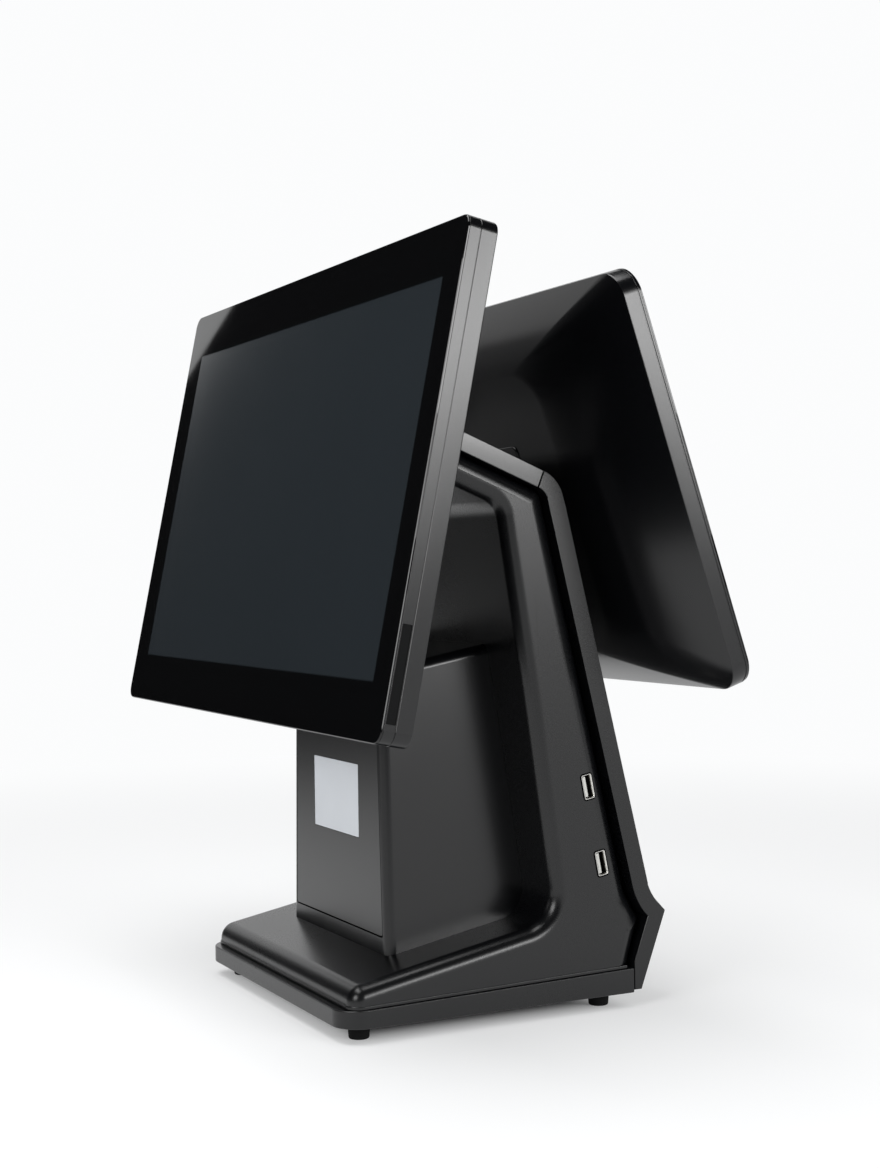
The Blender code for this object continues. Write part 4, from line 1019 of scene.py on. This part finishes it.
class TERMINAL_OT_covers(bpy.types.Operator):
    """Build the covers over the arm and down the back"""

    bl_idname = "terminal.covers"
    bl_label = "Top and Back Covers"
    bl_options = {"REGISTER", "UNDO"}

    def execute(self, context):
        edge = context.scene.terminal_stand.cover_edge
        half = TRAY_HIGH.x
        self.top(half, edge)
        self.back(half, edge)
        return {"FINISHED"}

    def top(self, half, edge):
        """Cover over the arm."""
        run = ARM_LENGTH - COVER_SEAM_RUN - GAP
        places = [(0, 0), (-run, 0), (-run, COVER_DEPTH), (0, COVER_DEPTH)]
        bm = side_profile([(*arm_point(*place), 0) for place in places], half)
        bevel(bm, sharp_edges(bm), edge * 0.5, 3)
        piece("arm_top_cover", in_stand(bm), "cover_plastic", "stand", ["top_cover"])

    def back(self, half, edge):
        """Cover down the back, with the openings of the rear sockets in its heel."""
        line = [TOP_CORNER + ARM_RUN * COVER_SEAM_RUN, TOP_CORNER, FLARE, HEEL, HEEL_FOOT]
        outer = [(*p, r) for p, r in zip(line, (0, TOP_CORNER_RADIUS, FLARE_RADIUS, 0.0008, 0))]
        line = shifted(line, -COVER_DEPTH)
        seam_y = TRAY_DEPTH + GAP
        heel, foot = line[-2], line[-1]
        corner = heel.lerp(foot, (heel.x - seam_y) / (heel.x - foot.x))
        inner = [(*line[0], 0), (*line[1], TOP_CORNER_RADIUS - COVER_DEPTH),
                 (*line[2], FLARE_RADIUS + COVER_DEPTH), (*heel, 0), (*corner, 0), (seam_y, HEEL_FOOT.y, 0)]
        bm = side_profile(outer + inner[::-1], half)
        bevel(bm, sharp_edges(bm, lambda e: e.calc_length() < half), edge * 0.5, 3)
        cutters = [self.socket_opening(name) for name in ("lan_socket", "drawer_socket", "power_inlet")]
        piece("back_cover_moulding", in_stand(bm), "stand_plastic", "stand",
              ["back_cover"], cutters)

    def socket_opening(self, name):
        """Opening in the heel around a rear socket."""
        low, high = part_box(name)
        size = high - low
        centre = (low + high) / 2
        return slab((size.x + 0.0008, 0.06, size.z + 0.0008), (centre.x, high.y + 0.018, centre.z),
                    "Y", 0.0006, 3)


class TERMINAL_OT_computer_box(bpy.types.Operator):
    """Build the computer box, its service door and the blank label"""

    bl_idname = "terminal.computer_box"
    bl_label = "Computer Box"
    bl_options = {"REGISTER", "UNDO"}

    def execute(self, context):
        sizes = context.scene.terminal_stand
        self.box(sizes)
        self.door(sizes)
        self.label()
        return {"FINISHED"}

    def outline(self, inset, front):
        """Side outline, as (y, z, radius): on the base, up the column and along the sloping top."""
        clear = 0.00005 + inset
        foot = Vector((COLUMN_FOOT_Y, base_top_z(COLUMN_FOOT_Y)))
        line = shifted([Vector((front, base_top_z(front))), foot, COLUMN_BEND, ARM_CORNER], clear)
        foot, bend, corner = line[1:]
        low = (front, base_top_z(front) + clear / math.cos(BASE_SLOPE), 0)
        rise = math.tan(BOX_TOP_SLOPE)
        run = (corner - bend).normalized()
        top_z = BOX_TOP_FRONT - inset
        reach = (top_z + (bend.x - BOX_FRONT) * rise - bend.y) / (run.y - run.x * rise)
        top = bend + run * reach
        ahead = (front, top_z + (front - BOX_FRONT) * rise, 0)
        return [low, (*foot, COLUMN_FOOT_RADIUS - GAP), (*bend, 0), (*top, 0), ahead]

    def solid(self, inset, front):
        """Solid that narrows upward."""
        bm = side_profile(self.outline(inset, front), 1.0)
        for vert in bm.verts:
            vert.co.x *= box_half(vert.co.z) - inset
        return bm

    def door_panel(self, grow, low, high):
        """Door-shaped solid between two depths in the stand."""
        bottom = base_top_z(BOX_FRONT) + DOOR_SILL - grow
        top = BOX_TOP_FRONT - DOOR_HEAD + grow
        bm = slab((2, high - low, top - bottom), (0, (low + high) / 2, (top + bottom) / 2), "Y")
        for vert in bm.verts:
            vert.co.x *= box_half(vert.co.z) - DOOR_SIDE_MARGIN + grow
        uprights = [e for e in bm.edges if abs(e.verts[0].co.y - e.verts[1].co.y) > 1e-6]
        bevel(bm, uprights, 0.002, 6)
        return bm

    def box(self, sizes):
        """Open-fronted box with round front edges and soft top edges."""
        bm = self.solid(0, BOX_FRONT)
        fronts = [e for e in bm.edges if all(abs(v.co.y - BOX_FRONT) < 1e-6 for v in e.verts)
                  and abs(e.verts[0].co.z - e.verts[1].co.z) > 0.05]
        bevel(bm, fronts, sizes.box_corner, 8)
        top = BOX_TOP_FRONT - 0.001
        tops = sharp_edges(bm, lambda e: all(v.co.z > top for v in e.verts) and middle_of(e).y < 0.105)
        bevel(bm, tops, sizes.box_top_edge, 5)
        deep = BOX_FRONT + sizes.door_thickness
        cutters = [
            self.door_panel(PANEL_GAP, BOX_FRONT - 0.01, deep + GAP),
            self.door_panel(-0.003, BOX_FRONT - 0.01, deep + 0.0052),
            self.solid(0.0022, deep + 0.003),
        ]
        for cutter in cutters:
            in_stand(cutter)
        piece("computer_box_moulding", in_stand(bm), "box_plastic", "stand",
              ["computer_box"], cutters)

    def door(self, sizes):
        """Flush door with eased edges and a shallow pocket for the label."""
        bm = self.door_panel(0, BOX_FRONT, BOX_FRONT + sizes.door_thickness)
        bevel(bm, sharp_edges(bm, lambda e: all(abs(v.co.y - BOX_FRONT) < 1e-6 for v in e.verts)), 0.0004, 3)
        low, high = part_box("service_label")
        centre = (low + high) / 2
        pocket = slab((high.x - low.x + 0.0006, 0.0012, high.z - low.z + 0.0006),
                      (centre.x, low.y, centre.z), "Y", 0.0006, 3)
        piece("service_door_panel", in_stand(bm), "box_plastic", "service_door",
              ["service_door"], [pocket])

    def label(self):
        """Blank label in the door's pocket."""
        low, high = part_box("service_label")
        bm = slab(high - low, (low + high) / 2, "Y", 0.0006, 4)
        bevel(bm, sharp_edges(bm, lambda e: middle_of(e).y < low.y + 1e-6), 0.00008, 2)
        piece("blank_label", bm, "label_film", "service_door", ["service_label"])


class TERMINAL_OT_side_sockets(bpy.types.Operator):
    """Build the two sockets in the right cheek"""

    bl_idname = "terminal.side_sockets"
    bl_label = "Side Sockets"
    bl_options = {"REGISTER", "UNDO"}

    def execute(self, context):
        for name, place in USB_PLACES:
            self.shell(name, place)
            self.tongue(name, place)
        dress(["usb_board"], "board_laminate")
        return {"FINISHED"}

    def shell(self, name, place):
        """Folded metal shell with a flared mouth."""
        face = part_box("usb_shell_" + name)[1].x
        bm = slab((0.013, 0.0061, 0.0133), (face - 0.0065, 0, 0), "X", 0.0008, 5)
        mouth = [f for f in bm.faces if f.normal.x > 0.9]
        bmesh.ops.inset_region(bm, faces=mouth, thickness=0.00025)
        bmesh.ops.inset_region(bm, faces=mouth, thickness=0.0004, depth=-0.0007)
        pushed = bmesh.ops.extrude_face_region(bm, geom=mouth)
        bmesh.ops.delete(bm, geom=mouth, context="FACES_ONLY")
        bmesh.ops.translate(bm, verts=verts_of(pushed), vec=(-0.0112, 0, 0))
        bmesh.ops.recalc_face_normals(bm, faces=bm.faces)
        piece("usb_metal_shell_" + name, in_stand(tilted(bm, place)), "plated_shell", "stand",
              ["usb_shell_" + name])

    def tongue(self, name, place):
        """Pale tongue at the front side of the mouth, with four sprung contacts behind it."""
        low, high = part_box("usb_tongue_" + name)
        run = high.x - low.x
        bm = slab((run, 0.0018, 0.0111), ((low.x + high.x) / 2, -0.0012, 0), "X", 0.0002, 2)
        bevel(bm, sharp_edges(bm, lambda e: middle_of(e).x > high.x - 1e-6), 0.0003, 3)
        piece("usb_tongue_bar_" + name, in_stand(tilted(bm, place)), "tongue_moulding", "stand",
              ["usb_tongue_" + name])
        strips = bmesh.new()
        for k in range(4):
            corners = [(high.x - 0.0007, -0.0003), (high.x - 0.0012, 0.0004), (high.x - 0.0020, 0.0007),
                       (high.x - 0.0045, -0.0002), (high.x - 0.0045, -0.0003)]
            z = (k - 1.5) * 0.0025 - 0.0005
            base = strips.faces.new([strips.verts.new((x, y, z)) for x, y in corners])
            pushed = bmesh.ops.extrude_face_region(strips, geom=[base])
            bmesh.ops.translate(strips, verts=verts_of(pushed), vec=(0, 0, 0.0010))
        bmesh.ops.recalc_face_normals(strips, faces=strips.faces)
        piece("usb_contacts_" + name, in_stand(tilted(strips, place)), "contact_brass", "stand",
              [])


class TERMINAL_OT_power_button(bpy.types.Operator):
    """Build the power button"""

    bl_idname = "terminal.power_button"
    bl_label = "Power Button"
    bl_options = {"REGISTER", "UNDO"}

    def execute(self, context):
        low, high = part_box("power_button")
        centre = (low + high) / 2
        turn = Matrix.Rotation(-math.pi / 2, 3, "Y")
        bm = rod((high.z - low.z) / 2, high.x - low.x, centre, turn)
        bevel(bm, sharp_edges(bm, lambda e: middle_of(e).x < low.x + 1e-6), 0.0006, 4)
        cap = [f for f in bm.faces if f.normal.x < -0.99 and len(f.verts) > 4]
        bmesh.ops.inset_region(bm, faces=cap, thickness=0.0009)
        bmesh.ops.inset_region(bm, faces=cap, thickness=0.0012, depth=-0.0004)
        piece("power_button_cap", bm, "button_moulding", "power_button", ["power_button"])
        dress(["power_switch"], "socket_moulding")
        dress(["power_board"], "board_laminate")
        return {"FINISHED"}


class TERMINAL_OT_inner_parts(bpy.types.Operator):
    """Finish the rear sockets, hinges, frame and computer"""

    bl_idname = "terminal.inner_parts"
    bl_label = "Hinges and Inner Parts"
    bl_options = {"REGISTER", "UNDO"}

    def execute(self, context):
        dress(["lan_socket"], "plated_box")
        dress(["drawer_socket", "power_inlet"], "socket_moulding")
        dress(["io_board", "mainboard", "memory_module", "storage_module"], "board_laminate")
        dress(["heat_sink"], "sink_aluminium")
        dress(["spine_frame", "main_hinge_bracket", "customer_hinge_bracket", "main_mount_plate",
               "customer_mount_plate"], "black_steel")
        hands = ("left", "right")
        washers = [f"{side}_hinge_washer_{hand}" for side in ("main", "customer") for hand in hands]
        dress(["main_hinge_pin", "customer_hinge_pin", *washers], "pin_steel")
        return {"FINISHED"}


class TERMINAL_OT_stage(bpy.types.Operator):
    """Set up the floor, lamps and camera"""

    bl_idname = "terminal.stage"
    bl_label = "Stage"
    bl_options = {"REGISTER", "UNDO"}

    def execute(self, context):
        scene = context.scene
        settings = scene.terminal_stage
        scene.view_settings.view_transform = "Standard"
        self.camera(scene, settings)
        self.floor(settings)
        self.surround(scene, settings)
        self.flags()
        self.lamp("side_lamp", (1.80, 0.79, 0.63), (0, 0, 0.25), (1.1, 0.70), settings.side_lamp)
        self.lamp("strip_lamp", (1.79, 0.82, 0.635), (0, 0, 0.25), (0.90, 0.33), settings.strip_lamp)
        self.lamp("top_lamp", (0.05, -0.30, 1.70), (0, 0, 0.10), (1.3, 1.3), settings.top_lamp)
        self.lamp("front_lamp", (0.84, -1.72, 0.84), (0, 0, 0.25), (0.9, 0.7), settings.front_lamp)
        self.lamp("over_lamp", (-0.10, -0.05, 0.535), (-0.10, 0.50, 0.535), (0.36, 0.24), settings.over_lamp)
        return {"FINISHED"}

    def camera(self, scene, settings):
        """Camera at the photograph's viewing angle."""
        azimuth, pitch = settings.camera_azimuth, settings.camera_pitch
        roll = settings.camera_roll
        ahead = Vector((-math.sin(azimuth) * math.cos(pitch), math.cos(azimuth) * math.cos(pitch),
                        -math.sin(pitch)))
        right = Vector((math.cos(azimuth), math.sin(azimuth), 0))
        up = right.cross(ahead)
        level = Matrix((right, up, -ahead)).transposed()
        data = bpy.data.cameras.new("view")
        data.lens = settings.lens
        data.sensor_width = 36
        made = bpy.data.objects.new("view", data)
        bpy.context.collection.objects.link(made)
        turned = level @ Matrix.Rotation(roll, 3, "Z")
        made.matrix_world = Matrix.Translation(settings.camera_place) @ turned.to_4x4()
        scene.camera = made

    def floor(self, settings):
        """Pale floor that keeps the shadow, darkest at the tray, and fades to white far out."""
        bm = bmesh.new()
        bmesh.ops.create_circle(bm, cap_ends=True, segments=96, radius=30)
        made = bpy.data.objects.new("floor", smooth_mesh("floor", bm))
        bpy.context.collection.objects.link(made)
        finish = Finish("pale_floor")
        place = finish.place()
        far = finish.node("ShaderNodeVectorMath", {"operation": "LENGTH"}, {0: place}, "Value")
        x, y, _ = finish.split(place)
        middle = (TRAY_LOW + TRAY_HIGH) / 2
        beside = finish.ramp(abs(x) - TRAY_HIGH.x, *TRAY_SHADE)
        before = finish.ramp(abs(y - middle.y) - TRAY_DEPTH / 2, *TRAY_SHADE)
        clear = finish.node("ShaderNodeMath", {"operation": "MAXIMUM"}, {0: beside, 1: before})
        near = clear * settings.floor_white
        factor = near + finish.ramp(far, 0.35, 1.3) * (1 - settings.floor_white)
        finish.feed({"Base Color": (*settings.floor, 1), "Roughness": 0.9, "Specular IOR Level": 0.0})
        glow = finish.node("ShaderNodeEmission", sockets={"Color": (0.97, 0.975, 0.98, 1), "Strength": 1.0})
        plain = Tone(finish, finish.shader.outputs[0])
        both = finish.node("ShaderNodeMixShader", sockets={0: factor, 1: plain, 2: glow})
        finish.join(finish.tree.nodes["Material Output"].inputs["Surface"], both)
        made.data.materials.append(finish.material)

    def surround(self, scene, settings):
        """White surround behind the object, with an even fill light."""
        world = bpy.data.worlds.new("surround")
        world.use_nodes = True
        scene.world = world
        finish = Finish("surround", world.node_tree)
        rays = finish.node("ShaderNodeLightPath").socket.node.outputs
        seen = Tone(finish, rays["Is Camera Ray"]) + Tone(finish, rays["Is Glossy Ray"])
        seen = seen + Tone(finish, rays["Is Transmission Ray"])
        sure = finish.node("ShaderNodeMath", {"operation": "MINIMUM"}, {0: seen, 1: 1.0})
        strength = settings.fill + sure * (1.0 - settings.fill)
        sockets = {"Color": (0.97, 0.975, 0.98, 1), "Strength": strength}
        light = finish.node("ShaderNodeBackground", sockets=sockets)
        finish.join(world.node_tree.nodes["World Output"].inputs["Surface"], light)

    def flags(self):
        """Black cloth round the open side of the stage and on the floor, seen only in reflections."""
        dome = bmesh.new()
        bmesh.ops.create_uvsphere(dome, u_segments=72, v_segments=72, radius=CLOTH_REACH)
        edge = self.toward(42.35, 20).cross(self.toward(39.7, 5))
        parts = dome.verts[:] + dome.edges[:] + dome.faces[:]
        bmesh.ops.bisect_plane(dome, geom=parts, plane_co=(0, 0, 0), plane_no=edge)
        spare = [f for f in dome.faces if self.is_open(f, edge)]
        bmesh.ops.delete(dome, geom=spare, context="FACES")
        self.cloth("black_cloth", dome)
        mat = bmesh.new()
        bmesh.ops.create_circle(mat, cap_ends=True, segments=72, radius=CLOTH_REACH)
        bmesh.ops.translate(mat, verts=mat.verts, vec=(0, 0, 0.002))
        bmesh.ops.inset_region(mat, faces=mat.faces[:], thickness=MAT_WIDTH, use_boundary=True)
        low, high = MAT_TURNS
        spare = [f for f in mat.faces if len(f.verts) > 4 or not low < self.turn_of(f) < high]
        bmesh.ops.delete(mat, geom=spare, context="FACES")
        self.cloth("black_mat", mat, MAT_FADE)

    def toward(self, turn, lift):
        """Direction so many degrees left of the view and above the floor."""
        level = math.cos(math.radians(lift))
        course = math.radians(turn + VIEW_COURSE)
        return Vector((level * math.cos(course), level * math.sin(course), math.sin(math.radians(lift))))

    def is_open(self, face, edge):
        """True where the cloth leaves the white surround free: low down, and behind the object."""
        turn, lift = self.turn_of(face), self.lift_of(face)
        if lift < (3 if -170 < turn < -60 else 1):
            return True
        return -30 < turn < 60 and edge.dot(face.calc_center_median()) < 0 and lift < 50

    def turn_of(self, face):
        """Degrees from the view's direction round to a face, to the left where positive."""
        centre = face.calc_center_median()
        return (math.degrees(math.atan2(centre.y, centre.x)) - VIEW_COURSE + 180) % 360 - 180

    def lift_of(self, face):
        """Degrees that a face stands above the floor, seen from the middle of it."""
        centre = face.calc_center_median()
        return math.degrees(math.asin(centre.z / centre.length))

    def cloth(self, name, bm, fade=None):
        """Black cloth that only reflections show, fading out toward the middle between two distances."""
        made = bpy.data.objects.new(name, smooth_mesh(name, bm))
        bpy.context.collection.objects.link(made)
        finish = Finish(name)
        finish.feed({"Base Color": (0.01, 0.01, 0.01, 1), "Roughness": 1.0, "Specular IOR Level": 0.0})
        if fade:
            place = finish.place()
            far = finish.node("ShaderNodeVectorMath", {"operation": "LENGTH"}, {0: place}, "Value")
            clear = finish.node("ShaderNodeBsdfTransparent")
            plain = Tone(finish, finish.shader.outputs[0])
            sockets = {0: finish.ramp(far, *fade), 1: clear, 2: plain}
            both = finish.node("ShaderNodeMixShader", sockets=sockets)
            finish.join(finish.tree.nodes["Material Output"].inputs["Surface"], both)
        made.data.materials.append(finish.material)
        made.visible_camera = False
        made.visible_diffuse = False
        made.visible_transmission = False
        made.visible_shadow = False

    def lamp(self, name, place, target, size, power):
        """Soft square lamp aimed at a point."""
        data = bpy.data.lights.new(name, "AREA")
        data.shape = "RECTANGLE"
        data.size, data.size_y = size
        data.energy = power
        made = bpy.data.objects.new(name, data)
        bpy.context.collection.objects.link(made)
        made.location = place
        aim = Vector(target) - Vector(place)
        made.rotation_euler = aim.to_track_quat("-Z", "Y").to_euler()


OPERATORS = (
    TERMINAL_OT_stage,
    TERMINAL_OT_stand_shell,
    TERMINAL_OT_base,
    TERMINAL_OT_covers,
    TERMINAL_OT_computer_box,
    TERMINAL_OT_side_sockets,
    TERMINAL_OT_power_button,
    TERMINAL_OT_main_display,
    TERMINAL_OT_customer_display,
    TERMINAL_OT_inner_parts,
)


class TERMINAL_PT_pieces(bpy.types.Panel):
    """Panel that lists the terminal's pieces"""

    bl_idname = "TERMINAL_PT_pieces"
    bl_label = "Dual-Screen Terminal"
    bl_space_type = "VIEW_3D"
    bl_region_type = "UI"
    bl_category = "Terminal"

    def draw(self, context):
        for operator in OPERATORS:
            self.layout.operator(operator.bl_idname)


GROUPS = {
    "terminal_stand": StandSizes,
    "terminal_main": MainDisplaySizes,
    "terminal_customer": CustomerDisplaySizes,
    "terminal_finishes": FinishColours,
    "terminal_stage": StageSettings,
}


def register():
    """Registers the classes and hangs the settings on the scene."""
    for group in (*GROUPS.values(), *OPERATORS, TERMINAL_PT_pieces):
        bpy.utils.register_class(group)
    for name, group in GROUPS.items():
        setattr(bpy.types.Scene, name, bpy.props.PointerProperty(type=group))


def unregister():
    """Takes the settings and classes away again."""
    for name in GROUPS:
        delattr(bpy.types.Scene, name)
    for group in reversed((*GROUPS.values(), *OPERATORS, TERMINAL_PT_pieces)):
        bpy.utils.unregister_class(group)


def main():
    """Builds every piece."""
    register()
    for operator in OPERATORS:
        area, name = operator.bl_idname.split(".")
        getattr(getattr(bpy.ops, area), name)()


if __name__ == "__main__":
    main()
